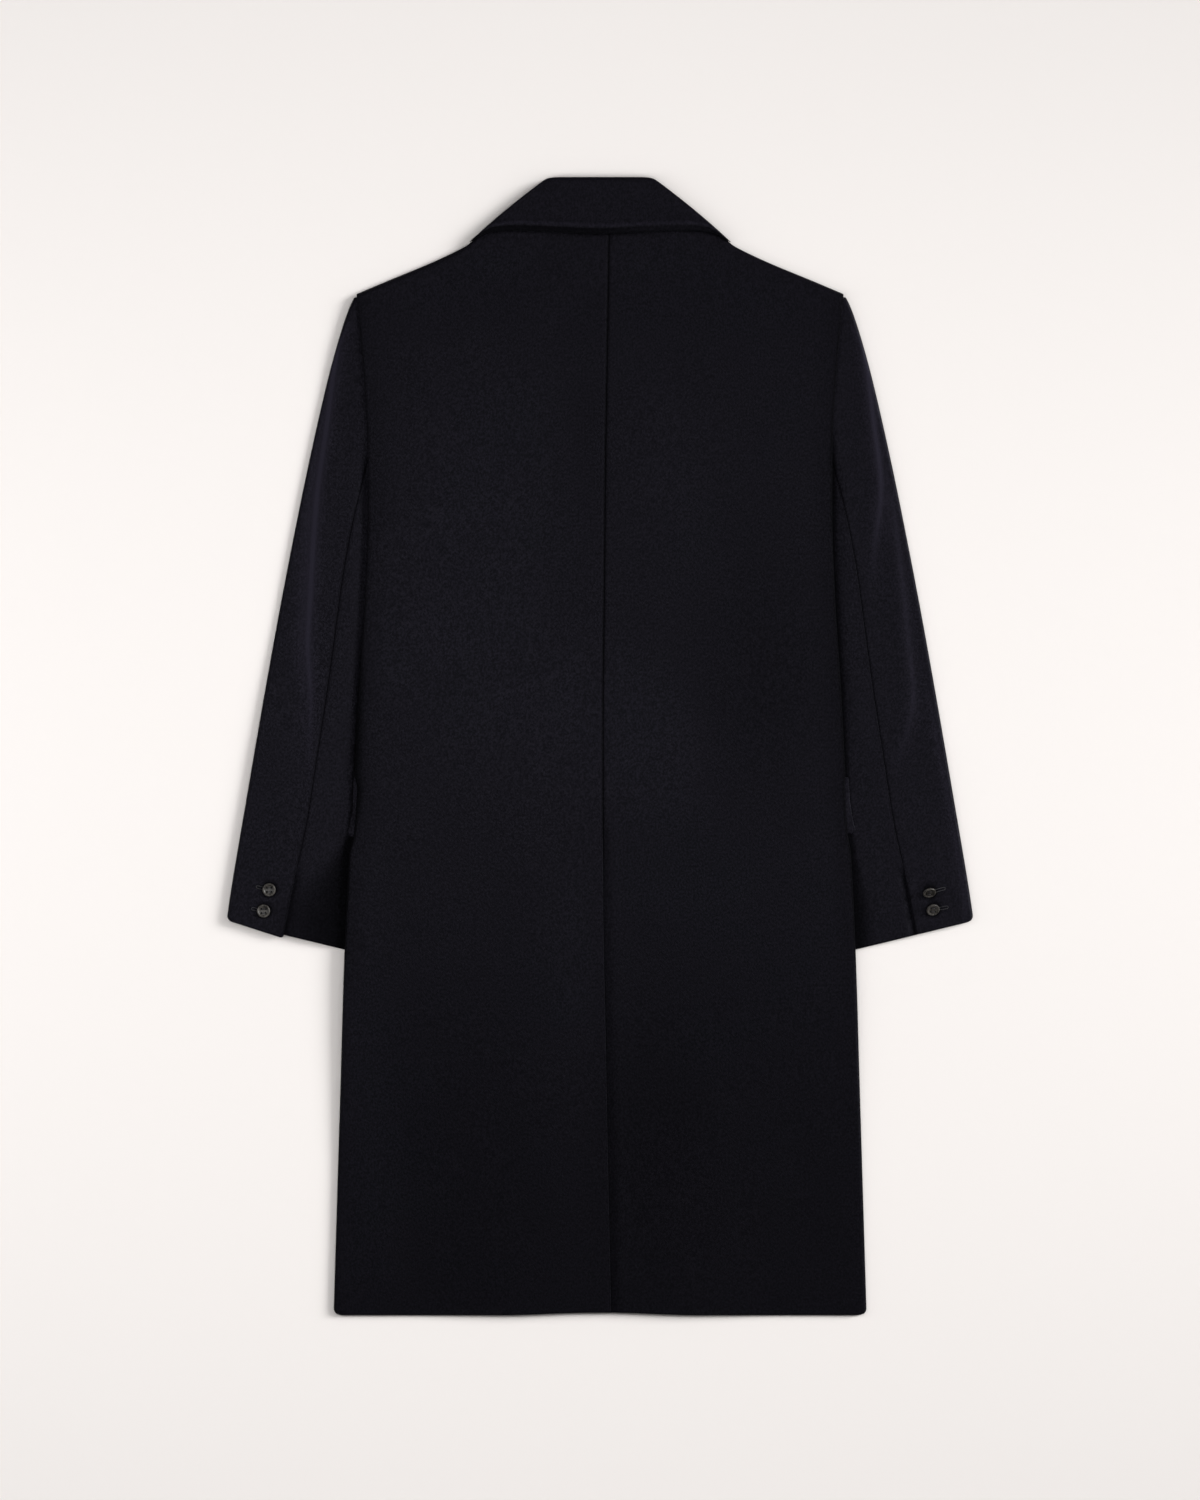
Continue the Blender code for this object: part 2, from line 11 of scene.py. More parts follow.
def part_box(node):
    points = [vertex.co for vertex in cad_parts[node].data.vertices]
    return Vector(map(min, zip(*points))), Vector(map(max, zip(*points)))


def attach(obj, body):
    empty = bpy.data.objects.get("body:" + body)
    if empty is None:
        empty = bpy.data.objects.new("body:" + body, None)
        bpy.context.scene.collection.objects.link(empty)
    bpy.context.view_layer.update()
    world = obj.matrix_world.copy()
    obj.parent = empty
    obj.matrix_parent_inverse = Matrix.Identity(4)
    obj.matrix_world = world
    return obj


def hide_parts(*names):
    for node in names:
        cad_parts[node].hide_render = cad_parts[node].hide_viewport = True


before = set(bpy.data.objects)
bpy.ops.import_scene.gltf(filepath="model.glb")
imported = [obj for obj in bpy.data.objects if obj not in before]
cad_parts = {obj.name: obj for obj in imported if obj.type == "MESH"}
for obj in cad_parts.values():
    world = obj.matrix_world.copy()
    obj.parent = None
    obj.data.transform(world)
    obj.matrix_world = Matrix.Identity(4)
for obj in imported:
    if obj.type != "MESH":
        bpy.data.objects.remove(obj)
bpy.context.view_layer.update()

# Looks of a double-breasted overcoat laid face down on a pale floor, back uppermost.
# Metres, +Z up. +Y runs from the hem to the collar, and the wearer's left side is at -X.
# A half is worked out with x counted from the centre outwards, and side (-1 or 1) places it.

bl_info = {
    "name": "Laid Overcoat",
    "version": (1, 0, 0),
    "blender": (4, 5, 0),
    "location": "View3D > Sidebar > Coat",
    "description": "Builds the cloth, buttons, stitching and stage of an overcoat laid flat",
    "category": "Object",
}

LEFT, RIGHT = -1, 1
LABELS = {LEFT: "left", RIGHT: "right"}

# Cloth
HALF_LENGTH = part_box("collar_fall")[1].y
CLOTH = 0.0018
COLLAR_CLOTH = 0.0026
GAP = 0.0004
SEAM = 0.00008
BACK_SEAM = -0.00008  # the sewn edges of the two back halves press together
ARMHOLE_SEAM = 0.0006
ARMHOLE_TUCK = 0.0036  # seam allowance of a sleeve, tucked under the body
TUCK_Y = (0.286, 0.302)
EDGE_ROUND = 0.0007  # how far a cut edge is rounded over
COLLAR_EDGE_ROUND = 0.0012
EDGE_SHARE = 0.45  # of the nearest cell, at most
EDGE_SHADE_REACH = 0.0021  # how far painted shade reaches in from an edge
EDGE_SHADE_LOSS = 0.45  # share of lightness that the painted edge shade takes
# painted edge shade on the back halves and on the sleeves
BACK_EDGE_SHADE_LOSS = 0.30
SLEEVE_EDGE_SHADE_LOSS = 0.42
EDGE_TURNS = np.radians((30.0, 62.0, 90.0, 118.0, 150.0))

# Body outline: half width (x) at each height (y), armhole above the armpit, side edge below it
SIDE_EDGE = (
    (0.466, 0.2505), (0.433, 0.2475), (0.375, 0.2425), (0.301, 0.2390), (0.238, 0.2390),
    (0.151, 0.2420), (0.058, 0.2480), (-0.055, 0.2540), (-0.107, 0.2580), (-0.210, 0.2630),
    (-0.364, 0.2678), (-0.5856, 0.2745),
)
# Neck and shoulder line: height (y) at each half width (x)
SHOULDER_LINE = (
    (-0.020, 0.5370), (0.055, 0.5370), (0.085, 0.5360), (0.102, 0.5350), (0.113, 0.5325),
    (0.121, 0.5290), (0.130, 0.5215), (0.1357, 0.5163), (0.145, 0.5110), (0.178, 0.4957),
    (0.203, 0.4854), (0.228, 0.4751), (0.2505, 0.4655),
)
# Centre back seam: x at each height (y); it bows to one side
CENTRE_SEAM = (
    (0.540, 0.0092), (0.408, 0.0071), (0.274, 0.0050), (0.151, 0.0040), (0.048, 0.0028),
    (-0.138, 0.0030), (-0.323, 0.0061), (-0.5856, 0.0112),
)
YOKE_Y = 0.455
SIDE_ROLL = 0.0035
SHOULDER_ROLL = 0.0050
ARMHOLE_DROP = 0.0014
ARMHOLE_Y = (0.255, 0.300)
FRONT_ARMHOLE_RISE = 0.0010
NECK_DROP = 0.0012
NECK_X = (0.075, 0.095)
HEM_RISE = 0.0026
HEM_RISE_X = (0.010, 0.100)
HEM_RISE_Y = -0.450
HEM_CORNER = 0.0070  # radius of the hem's side corners
CENTRE_DIP = (0.0030, 0.0007)  # reach and depth of the groove along the centre back seam
BACK_CHEST = 0.0092
BACK_NECK = 0.0080
BACK_HEM_CENTRE = 0.0070
BACK_HEM_SIDE = 0.0034
BACK_NECK_Y = (0.400, 0.490)
BACK_HEM_X = (0.070, 0.200)
BACK_HEM_Y = (-0.450, -0.210)
VENT_TOP = -0.115
VENT_LAP = 0.040
VENT_RUN = 0.060
VENT_STEP = (0.001, 0.010)
LAP_STEP = 0.001  # least width of a column under the vent

# Fronts and lapels
FRONT_LAP = 0.082
BREAK_Y = 0.190
NECK_POINT = (0.070, 0.536)
LAPEL_PEAK = (0.150, 0.428)
GORGE_END = (0.106, 0.464)
LAPEL_TOP_Y = 0.522
LAPEL_FOOT_Y = {LEFT: 0.205, RIGHT: 0.312}
# How far a part under a front lifts it: height, then where that grows across (x) and along (y)
LAPEL_LIFT = (0.0024, (0.235, 0.165), (0.110, 0.190))
LAPEL_ROLL = (0.0040, 0.0014)  # reach and rise of the turn along the roll line
COLLAR_LIFT = (0.0032, (0.200, 0.145), (0.390, 0.455))
OVERLAP_GAP = 0.0006
OVERLAP_RUN = (0.062, 0.130)
GORGE_GAP = 0.0010

# Sleeves: half widths (x) at each height (y)
SLEEVE_OUTER = (
    (0.4620, 0.2530), (0.4545, 0.2568), (0.439, 0.2627), (0.398, 0.2750), (0.357, 0.2853),
    (0.295, 0.2992), (0.254, 0.3078), (0.151, 0.3280), (0.048, 0.3466), (-0.055, 0.3643),
    (-0.158, 0.3815), (-0.180, 0.3846),
)
SLEEVE_SEAM = (
    (0.300, 0.2398), (0.285, 0.2412), (0.269, 0.2455), (0.228, 0.2554), (0.181, 0.2642),
    (0.125, 0.2719), (0.057, 0.2812), (-0.016, 0.2925), (-0.076, 0.3018), (-0.139, 0.3152),
    (-0.194, 0.3262),
)
SLEEVE_INNER = (
    (0.262, 0.222), (0.245, 0.182), (0.225, 0.154), (0.150, 0.158), (0.000, 0.190),
    (-0.2155, 0.2383),
)
FOREARM_SEAM = (
    (0.300, 0.2394), (0.272, 0.2380), (0.262, 0.2340), (0.245, 0.2060), (0.225, 0.1820),
    (0.150, 0.1860), (0.000, 0.2160), (-0.2155, 0.2640),
)
CAP_TOP_Y = SLEEVE_OUTER[0][0]
ARM_TOP_Y = 0.2615
ARMPIT_TUCK_Y = 0.2960  # top of the under sleeve, tucked under the armhole
ARMPIT_DROP = 0.0003
CUFF_SLOPE = 0.2444
CUFF_CORNER_Y = -0.1797
CUFF_TOP_Y = -0.1150
CUFF_CORNER = 0.0060  # radius of the outer corner
LAP_CORNER = 0.0030  # radius of the lap's corner
CUFF_OVERHANG = {LEFT: 0.0036, RIGHT: 0.0}  # how far the lap hangs below the under sleeve
OVERHANG_RUN = 0.030
SLANT_TOP_Y = 0.280
CAP_Y = (0.268, 0.330)
SLEEVE_FLAT = 0.0040
SLEEVE_LOFT = 0.0076
SLEEVE_CAP = 0.0080
CLIMB_X = (0.084, 0.105)
SLEEVE_LIFT = (0.0044, CLIMB_X, (-0.340, -0.262, 0.285, 0.360))
SLEEVE_ROLL = 0.0035
UPPER_LEAF_Z = (0.0018, 0.0030)
ROLL_SHARE = 0.45
LOFT_SETBACK = 0.0015
LOFT_RUN = (0.056, 0.016)  # how far the sleeve climbs from the body, at the cuff and arm
LOFT_RUN_Y = (-0.120, 0.060)
SLEEVE_DIP = (0.0026, 0.0004)  # reach and depth of the groove along the sleeve seam
CUFF_VENT_Y = (-0.139, -0.120)  # foot and top of where the cuff's lap opens
CUFF_LAP = 0.008
CUFF_LAP_DROP = 0.0024
CUFF_LAP_RUN = 0.010

# Soft folds of the sleeves: line (y, x), fall of the outer side, its width, where it starts and ends
# along the sleeve, and the gain of the painted highlight on its crest
SLEEVE_FOLDS = {
    LEFT: (
        (((0.432, 0.2593), (0.409, 0.2700), (0.330, 0.2813), (0.252, 0.2920), (0.147, 0.2988),
          (0.106, 0.3009), (0.047, 0.2978), (0.015, 0.2988)), 0.0026, 0.013,
         (-0.070, 0.150, 0.390, 0.450), 6.0),
    ),
    RIGHT: (
        (((0.432, 0.2600), (0.409, 0.2708), (0.330, 0.2821), (0.264, 0.2893), (0.199, 0.2821),
          (0.106, 0.2759)), 0.0014, 0.013, (0.130, 0.300, 0.390, 0.450), 4.2),
        (((0.252, 0.3017), (0.133, 0.3151), (0.089, 0.3192), (0.057, 0.3223), (0.029, 0.3202),
          (-0.002, 0.3110), (-0.016, 0.3068)), 0.0020, 0.017, (-0.060, 0.060, 0.220, 0.290), 1.8),
        (((0.050, 0.3390), (-0.055, 0.3580), (-0.158, 0.3755)), 0.0008, 0.014,
         (-0.220, -0.150, 0.010, 0.080), 1.3),
    ),
}
# Painted highlight on the folds' crests: width of the crest line, widths of its glow, and the crest line's
# share
CREST_WIDTH = 0.0024
GLOW_WIDTH = (0.0075, 0.0130)  # widths of the painted highlight's glow, inward and outward
CREST_SHARE = 0.62
BODY_SHADE_REACH = {LEFT: (0.094, 0.0045), RIGHT: (0.023, 0.0060)}  # reach of the painted shade beside the body, at the cuff and the arm
BODY_SHADE_Y = (-0.190, -0.080)  # its reach changes between these
BODY_SHADE_TOP_Y = {LEFT: (0.200, 0.010), RIGHT: (0.340, 0.290)}  # it fades out between these
BODY_SHADE_CORE = 0.12  # share of the reach that is darkest
BODY_SHADE_LOSS = 0.94
LAP_SHADE = {LEFT: (0.0065, 0.95), RIGHT: (0.0110, 0.72)}  # reach and loss of the painted shade beside the cuff's lap
# Swells of the back: x, y, spread along X and Y, height
BACK_SWELLS = (
    (-0.125, 0.300, 0.070, 0.090, 0.0011),
    (-0.155, 0.140, 0.075, 0.090, 0.0011),
    (-0.050, 0.030, 0.075, 0.070, 0.0010),
    (0.055, -0.005, 0.045, 0.060, 0.0010),
    (0.070, 0.300, 0.045, 0.080, 0.0005),
    (-0.035, -0.300, 0.030, 0.200, 0.0007),
    (0.055, -0.400, 0.060, 0.130, -0.0010),
    (0.165, 0.070, 0.065, 0.140, -0.0009),
    (-0.015, 0.330, 0.022, 0.100, -0.0004),
    (-0.250, -0.420, 0.042, 0.190, 0.0014),
)
HIGHLIGHT_RANGE = (1.6, 6.0)  # painted light: the value where lightening stops and the painted crest highlight starts, and where that highlight is full
# painted shade: lightness of the back as a whole, against the sleeves' 1
BACK_SHADE_TONE = 0.90
SWELL_HIGHLIGHT_PER_RISE = 240.0  # painted highlight: share of lightness that a metre of swell adds
# painted shade: the back darkens toward the hem by this share, between these heights
HEM_SHADE = 0.39
HEM_SHADE_Y = (-0.010, -0.520)
SIDE_SHADE = (0.028, 0.24)  # reach and loss of the painted shade along the side edge
SIDE_SHADE_Y = (-0.290, -0.200)
# Painted shadow line along the side edge, in the hollow between body and sleeve: loss at each height (y)
SIDE_SHADOW_LINE = {
    LEFT: ((-0.245, 0.0), (-0.215, 0.85), (-0.030, 0.95), (0.050, 0.70), (0.110, 0.30), (0.190, 0.08),
           (0.300, 0.08), (0.350, 0.12), (0.420, 0.30), (0.470, 0.30)),
    RIGHT: ((-0.245, 0.0), (-0.215, 0.85), (-0.030, 0.95), (0.050, 0.95), (0.130, 0.88), (0.190, 0.80),
            (0.255, 0.97), (0.315, 0.97), (0.350, 0.92), (0.420, 0.88), (0.470, 0.60)),
}
# How far that painted shadow line reaches onto the back at each height (y)
SIDE_SHADOW_REACH = {
    LEFT: ((-0.245, 0.0026), (-0.110, 0.0030), (-0.030, 0.0125), (0.060, 0.0115), (0.120, 0.0055),
           (0.200, 0.0026)),
    RIGHT: ((-0.245, 0.0040), (0.100, 0.0055), (0.300, 0.0050)),
}
SIDE_SHADOW_CORE = 0.2  # share of that reach that is darkest
SEAM_SHADE_LINE = (0.0024, 0.80)  # reach and loss of the painted shade line in the centre back seam
VENT_SHADOW = (0.0042, 0.85)  # reach and loss of the painted shadow beside the vent's edge
VENT_HIGHLIGHT = (0.0050, 0.30)  # reach and gain of the painted highlight on the vent's edge
RIPPLE_SEED = 11
RIPPLE_COUNT = 7
RIPPLE_PITCH = (0.045, 0.140)
RIPPLE_HEIGHT = 0.00005

# Pocket flaps
FLAP_INNER_X = 0.115
# Outer end of a flap: x at each height (y)
FLAP_OUTER = {
    LEFT: ((-0.030, 0.2530), (-0.0358, 0.2540), (-0.0657, 0.2548), (-0.076, 0.2568), (-0.0883, 0.2594)),
    RIGHT: ((-0.030, 0.2550), (-0.0358, 0.2560), (-0.0554, 0.2572), (-0.076, 0.2602), (-0.0863, 0.2628)),
}
FLAP_TOP_Y = -0.032
FLAP_BOTTOM_Y = {LEFT: -0.0936, RIGHT: -0.0900}
FLAP_LIFT = (0.0024, CLIMB_X, (-0.150, -0.099, -0.025, 0.030))
FLAP_CORNER = 0.0042
# painted light: the flap is kept lighter than the wool round it
FLAP_LIGHT = 1.35
NICK = {LEFT: 0.0034, RIGHT: 0.0020}  # how far the side edge is drawn in over a flap
NICK_Y = (-0.112, -0.090, -0.045, -0.028)

# Collar
COLLAR_TOP_HALF = 0.0585
COLLAR_EDGE_HALF = 0.135
COLLAR_BULGE = 0.010
COLLAR_CORNER = (0.0036, 12)  # drop at the corners, and how sharply it comes
COLLAR_TOP_Z = 0.0132
COLLAR_ROLL = 0.006
COLLAR_FOLD_REACH = 0.004
COLLAR_FOLD_DROP = 0.003
COLLAR_EDGE = (
    (0.0, 0.5268), (0.35, 0.5290), (0.70, 0.5306), (0.85, 0.5285), (1.0, 0.5185),
)
COLLAR_FRONT_FOLD = (0.062, 0.535)
COLLAR_FRONT_POINT = (0.108, 0.4665)
COLLAR_WELT = (0.0004, 0.0008, 0.0070)  # rise of the rolled edge, its fall, and their reach
WELT_START = 2.2  # reaches from the edge where the rise starts
WELT_HIGHLIGHT = (1.5, 0.0088, 0.0014)  # painted highlight on the rolled edge: gain of lightness, its distance from the edge and its width
WELT_SHADE = (0.0070, 0.0050, 0.90)  # where the shade below the welt starts and is full, and its loss
WELT_SHADE_X = (-0.010, 0.060)  # it thins out from the first to the second
WELT_SHADE_LEAST = 0.60
COLLAR_SHADE = (0.0040, 0.70)  # reach and loss of the painted shade on the back below the collar
STAND_FOOT_Y = 0.5385
STAND_TOP_Y = 0.5785
STAND_FOOT_HALF = 0.080
STAND_TOP_HALF = 0.048

# Buttons and buttonholes
BUTTON_LIFT = (0.0033, (0.150, 0.085), (-0.150, -0.064, 0.190, 0.260))
BUTTON_SIDES = 40
BUTTON_PROFILE = (  # share of the radius, share of the height
    (0.0, 0.0), (0.55, 0.0), (0.80, 0.05), (0.94, 0.26), (1.0, 0.52), (0.985, 0.76), (0.93, 0.94),
    (0.86, 1.0), (0.80, 0.98), (0.74, 0.88), (0.68, 0.76), (0.56, 0.69), (0.30, 0.66), (0.0, 0.66),
)
DIMPLE = 0.0006  # how far a button draws the cloth down
DIMPLE_REACH = 0.0060
BUTTON_SHADOW_LOSS = 0.9  # lightness lost to the painted shadow round a cuff button
BUTTON_SHADOW_REACH = 0.0030
BUTTON_SHADOW_SHIFT = (0.0007, 0.0005)  # of the painted shadow ring's middle from the button's
HOLE_PLACE = 0.31  # shares of the button's radius
HOLE_RADIUS = 0.165
HOLE_SIDES = 14
HOLE_FLOOR = 0.66
SHARP_ANGLE = 38.0
DISH_SHADE_EDGE = (0.62, 0.80)  # shares of the radius between the dish, darkened by painted shade, and the rim
THREAD_RADIUS = 0.00022
THREAD_SIDES = 8
THREAD_STEPS = 9
THREAD_RISE = 0.00045
THREAD_FOOT = 0.2  # share of the button's height where a strand ends
THREAD_ARCH = 0.35  # power of the strand's arch, flat on top when small
FRONT_ROWS = (1, 2, 3)
FRONT_BUTTON_TURN = 180.0
CUFF_BUTTONS = {  # tilt about X and Y in degrees, and the outer end (x, y) of the hole it stands on
    "cuff_button_left_1": ((0.0, 0.0), (-0.3539, -0.1446)),
    "cuff_button_left_2": ((0.0, 0.0), (-0.3587, -0.1672)),
    "cuff_button_right_1": ((47.0, 16.0), (0.3552, -0.1461)),
    "cuff_button_right_2": ((33.0, 13.0), (0.3583, -0.1656)),
}
CUFF_BUTTON_BOXES = [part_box(node) for node in CUFF_BUTTONS]
HOLE_HALF = 0.0013  # half the width of a stitched buttonhole
FRONT_HOLE_REACH = 0.022
HOLE_END_TURNS = np.radians(np.linspace(90.0, -90.0, 9))
STITCH_LIFT = 0.00012
STITCH_RADIUS = 0.00024
STITCH_REACH = (0.42, 0.56)  # shares of the stitch length, drawn at random
STITCH_SIDES = 6
STITCH_RINGS = 4

# Mesh steps
BODY_STEP = 0.0050
CUFF_STEP = 0.0022
HIDDEN_STEP = 0.0070
SEAM_STEPS = np.array((0.0, 0.0011, 0.0021, 0.0032, 0.0046, 0.0068, 0.0100))
SIDE_TURNS = np.radians((18.0, 36.0, 54.0, 72.0, 90.0))
TUBE_TURNS = np.radians(np.linspace(0.0, 180.0, 11))
HEM_CORNER_STEPS = np.array((1.6, 1.1, 0.8, 0.55, 0.34, 0.18, 0.0))  # in radii of the corner
CUFF_CORNER_STEPS = np.array((1.5, 1.0, 0.7, 0.45, 0.26, 0.12, 0.0))  # in radii of the corner
TOP_SHARES = np.concatenate(((0.0, 0.015, 0.03, 0.05, 0.075), np.linspace(0.105, 1.0, 32)))
LOW_SHARES = np.linspace(0.0, 1.0, 16)
TURN_SHARE = 0.8  # share of a sleeve's turn that the cloth's thickness may take
CROSS_ROUNDS = 12  # rounds that find where a row meets a line
CAP_SHARES = np.linspace(0.0, 1.0, 44)[:-1] ** 1.25  # rows of the sleeve cap, closest at its top
LAPEL_SHARES = np.linspace(0.0, 1.0, 24)
FLAP_SHARES = np.linspace(0.0, 1.0, 30)
FLAP_DROPS = np.concatenate((np.linspace(0.0, 0.80, 12), 1.0 - 0.2 * np.linspace(1.0, 0.0, 9)[1:] ** 1.6))
COLLAR_FOLD_SHARES = np.linspace(0.0, 1.0, 7) ** 1.6  # of the fold's reach
COLLAR_EDGE_SHARES = 1.0 - 0.22 * np.linspace(1.0, 0.0, 11) ** 1.3
COLLAR_STEP = 0.06  # share of the fall between two rows
LEAF_SHARES = np.linspace(1.0, 0.0, 16)[:-1]  # across the collar's front leaf
COLLAR_COLUMNS = 75
STAND_ROWS = 9
STAND_COLUMNS = 33

# Shaders: a range holds the noise values at its two ends, a bump its strength and distance
NAP_STREAK = (1.0, 0.75, 1.0)  # tufts run a little longer along the coat
TUFT_NOISE = (2.0, 0.6)  # detail and roughness
FIBRES_PER_TUFT = 3.7
FIBRE_SHARE = 0.4
FIBRE_RANGE = (0.425, 0.595)
PATCH_NOISE = (16.0, 2.0, 0.5)  # scale, detail and roughness
PATCH_RANGE = (0.3, 0.7)
PATCH_TONE = (0.94, 1.06)
WOOL_ROUGHNESS = (0.60, 0.38)  # of the ground and of the fibres
SHADE_ROUGHNESS = 0.36  # more where shade is painted in, below a point value of 1
WOOL_BUMP = (0.40, 0.0006)
WOOL_SHINE = {
    "Specular IOR Level": 0.075, "Specular Tint": (0.80, 0.78, 1.0, 1.0), "Sheen Weight": 0.014,
    "Sheen Roughness": 0.5, "Sheen Tint": (0.55, 0.56, 0.66, 1.0),
}
HORN_TURN = (0.3, 0.2, 0.9)
HORN_STREAK = (1.0, 0.35, 1.0)
HORN_NOISE = (420.0, 4.0, 0.6, 0.8)  # scale, detail, roughness and distortion
HORN_RANGE = (0.36, 0.72)
HORN_DISH = 0.50  # share of the pale streaks that the dish keeps under its painted shade
HORN_ROUGHNESS = (0.24, 0.44)
HORN_BUMP = (0.15, 0.0002)
HORN_SPECULAR = 0.28
THREAD_GRAIN = 0.0005
THREAD_STREAK = (1.0, 1.0, 1.0)
THREAD_DARK = 0.6  # share of the thread's colour in its dark parts
THREAD_ROUGHNESS = 0.5
THREAD_BUMP = (0.3, 0.0002)

# Stage
FRAME_CENTRE = (-0.0001, -0.0039)
CAMERA_CLIP = 4  # how many of its own heights the camera sees
FLOOR_HALF = 6.0
SUN_FROM = (0.86, 0.27, 0.43)
SUN_ANGLE = 24.0
TOP_BOX = (-0.2, 0.20, 2.6)
TOP_BOX_SIZE = 1.0
SIDE_BOX = (1.25, 0.0, 1.35)
SIDE_BOX_SIZE = (0.5, 3.8)


def colour_setting(name, description, default):
    return FloatVectorProperty(name=name, description=description, default=default, subtype="COLOR",
                               size=3, min=0.0, max=1.0)


def amount(name, description, default, least=0.0, unit="NONE", **limits):
    return FloatProperty(name=name, description=description, default=default, min=least, unit=unit,
                         **limits)


class CoatCloth(bpy.types.PropertyGroup):
    """Wool of the coat."""

    wool_colour: colour_setting("Wool", "Ground colour of the wool", (0.0007, 0.00062, 0.0011))
    fibre_colour: colour_setting("Fibre", "Colour of the raised fibres", (0.0044, 0.00385, 0.0061))
    # painted highlight: colour the cloth turns to on the crests of the sleeve folds
    crest_highlight_colour: colour_setting("Crest", "Colour of the nap where a fold raises it most",
                                 (0.0150, 0.0134, 0.0215))
    thickness: amount("Cloth", "Thickness of one layer of wool", CLOTH, 0.0005, "LENGTH", max=0.004)
    collar_thickness: amount("Collar", "Thickness of the doubled collar", COLLAR_CLOTH, 0.001, "LENGTH",
                             max=0.006)
    grain: amount("Nap grain", "Size of the tufts in the nap", 0.0018, 0.0003, "LENGTH", max=0.01)


class CoatTrim(bpy.types.PropertyGroup):
    """Buttons and stitching of the coat."""

    horn_colour: colour_setting("Horn", "Dark colour of the buttons", (0.0085, 0.0072, 0.0062))
    horn_light: colour_setting("Horn streaks", "Pale colour of the buttons", (0.086, 0.079, 0.070))
    thread_colour: colour_setting("Thread", "Colour of the sewing thread", (0.011, 0.010, 0.0135))
    stitch_pitch: amount("Stitch pitch", "Distance between buttonhole stitches", 0.00042, 0.0002, "LENGTH",
                         max=0.002)
    stitch_length: amount("Stitch length", "Length of a buttonhole stitch", 0.0011, 0.0004, "LENGTH",
                          max=0.004)
    stitch_seed: IntProperty(name="Seed", description="Seed of the stitches' unevenness", default=5, min=0)


class CoatStage(bpy.types.PropertyGroup):
    """Floor, light and camera."""

    floor_colour: colour_setting("Floor", "Colour of the pale floor", (0.900, 0.858, 0.834))
    sky_strength: amount("Fill", "Strength of the even light from all round", 0.145)
    sun_strength: amount("Key", "Strength of the light from the upper right", 2.95)
    top_power: amount("Overhead box", "Power of the soft box overhead", 7.0, unit="POWER")
    side_power: amount("Side boxes", "Power of the soft box at each side", 16.0, unit="POWER")
    camera_height: amount("Camera height", "Height of the camera over the floor", 8.0, 1.0, "LENGTH")
    frame_height: amount("Frame", "Length of floor that the picture's height shows", 1.545, 0.1, "LENGTH")


def mix(a, b, share):
    return a + (b - a) * share


def ease(start, end, value):
    """0 at start, 1 at end, level at both ends; start may be the larger one."""
    share = np.clip((value - start) / (end - start), 0.0, 1.0)
    return share * share * (3.0 - 2.0 * share)


def band(edges, value):
    """Rises between the first two edges and falls between the last two."""
    return ease(edges[0], edges[1], value) * ease(edges[3], edges[2], value)


def faded(line, away):
    """What a line of some reach and amount adds at a distance from it."""
    reach, amount = line
    return amount * ease(reach, 0.0, away)


def curve(table, at):
    """Smooth curve through (position, value) rows given in either order."""
    spots, values = np.array(sorted(table)).T
    chords = np.diff(values) / np.diff(spots)
    before, after = chords[:-1], chords[1:]
    same_way = before * after > 0.0
    total = np.where(same_way, before + after, 1.0)
    turns = np.where(same_way, 2.0 * before * after / total, 0.0)
    slopes = np.concatenate((chords[:1], turns, chords[-1:]))
    at = np.clip(at, spots[0], spots[-1])
    k = np.clip(np.searchsorted(spots, at, side="right") - 1, 0, len(chords) - 1)
    span = spots[k + 1] - spots[k]
    t = (at - spots[k]) / span
    return (values[k] * (1 + 2 * t) * (1 - t) ** 2 + values[k + 1] * t * t * (3 - 2 * t)
            + span * (slopes[k] * t * (1 - t) ** 2 - slopes[k + 1] * t * t * (1 - t)))


def row_points(x, y, z):
    """Points of a row; y or z may be one value for all of them."""
    return np.stack(np.broadcast_arrays(x, y, z), axis=-1)


def spread(start, end, step):
    """Evenly spaced values from start to end, about step apart."""
    return np.linspace(start, end, max(2, round(abs(end - start) / step) + 1))


def corner_inset(radius, away):
    """How far a rounded corner draws an edge in, at a distance from the corner's end."""
    rest = np.clip(radius - away, 0.0, radius)
    return radius - np.sqrt(radius * radius - rest * rest)


def side_x(y):
    return curve(SIDE_EDGE, y)


def hemmed_side_x(side, y):
    """Side edge of the body with its hem corner, drawn in a little over the pocket flap."""
    return side_x(y) - corner_inset(HEM_CORNER, y + HALF_LENGTH) - NICK[side] * band(NICK_Y, y)


def roll_line_x(y):
    """Inner edge of a front on its own side: the lapel's roll line, then the straight front edge."""
    share = np.clip((y - BREAK_Y) / (NECK_POINT[1] - BREAK_Y), 0.0, None)
    return mix(-FRONT_LAP, NECK_POINT[0], share)


def lapel_edge_x(y):
    """Outer edge of a lapel: gorge, peak, then straight down to the break."""
    if y >= GORGE_END[1]:
        share = (y - GORGE_END[1]) / (COLLAR_FRONT_FOLD[1] - GORGE_END[1])
        return mix(GORGE_END[0], COLLAR_FRONT_FOLD[0], share)
    if y >= LAPEL_PEAK[1]:
        return mix(LAPEL_PEAK[0], GORGE_END[0], (y - LAPEL_PEAK[1]) / (GORGE_END[1] - LAPEL_PEAK[1]))
    return mix(-FRONT_LAP, LAPEL_PEAK[0], (y - BREAK_Y) / (LAPEL_PEAK[1] - BREAK_Y))


def lift(part, x, y):
    """How far a part under a front lifts it at a place."""
    height, across, along = part
    return height * ease(*across, x) * (band(along, y) if len(along) == 4 else ease(*along, y))


def front_lift(x, y):
    """Lower face of a front above the floor, from what lies under it on its own side."""
    sleeve = lift(SLEEVE_LIFT, x, y) + lift(FLAP_LIFT, x, y)
    return np.maximum(sleeve, np.maximum(lift(LAPEL_LIFT, x, y), lift(COLLAR_LIFT, x, y)))


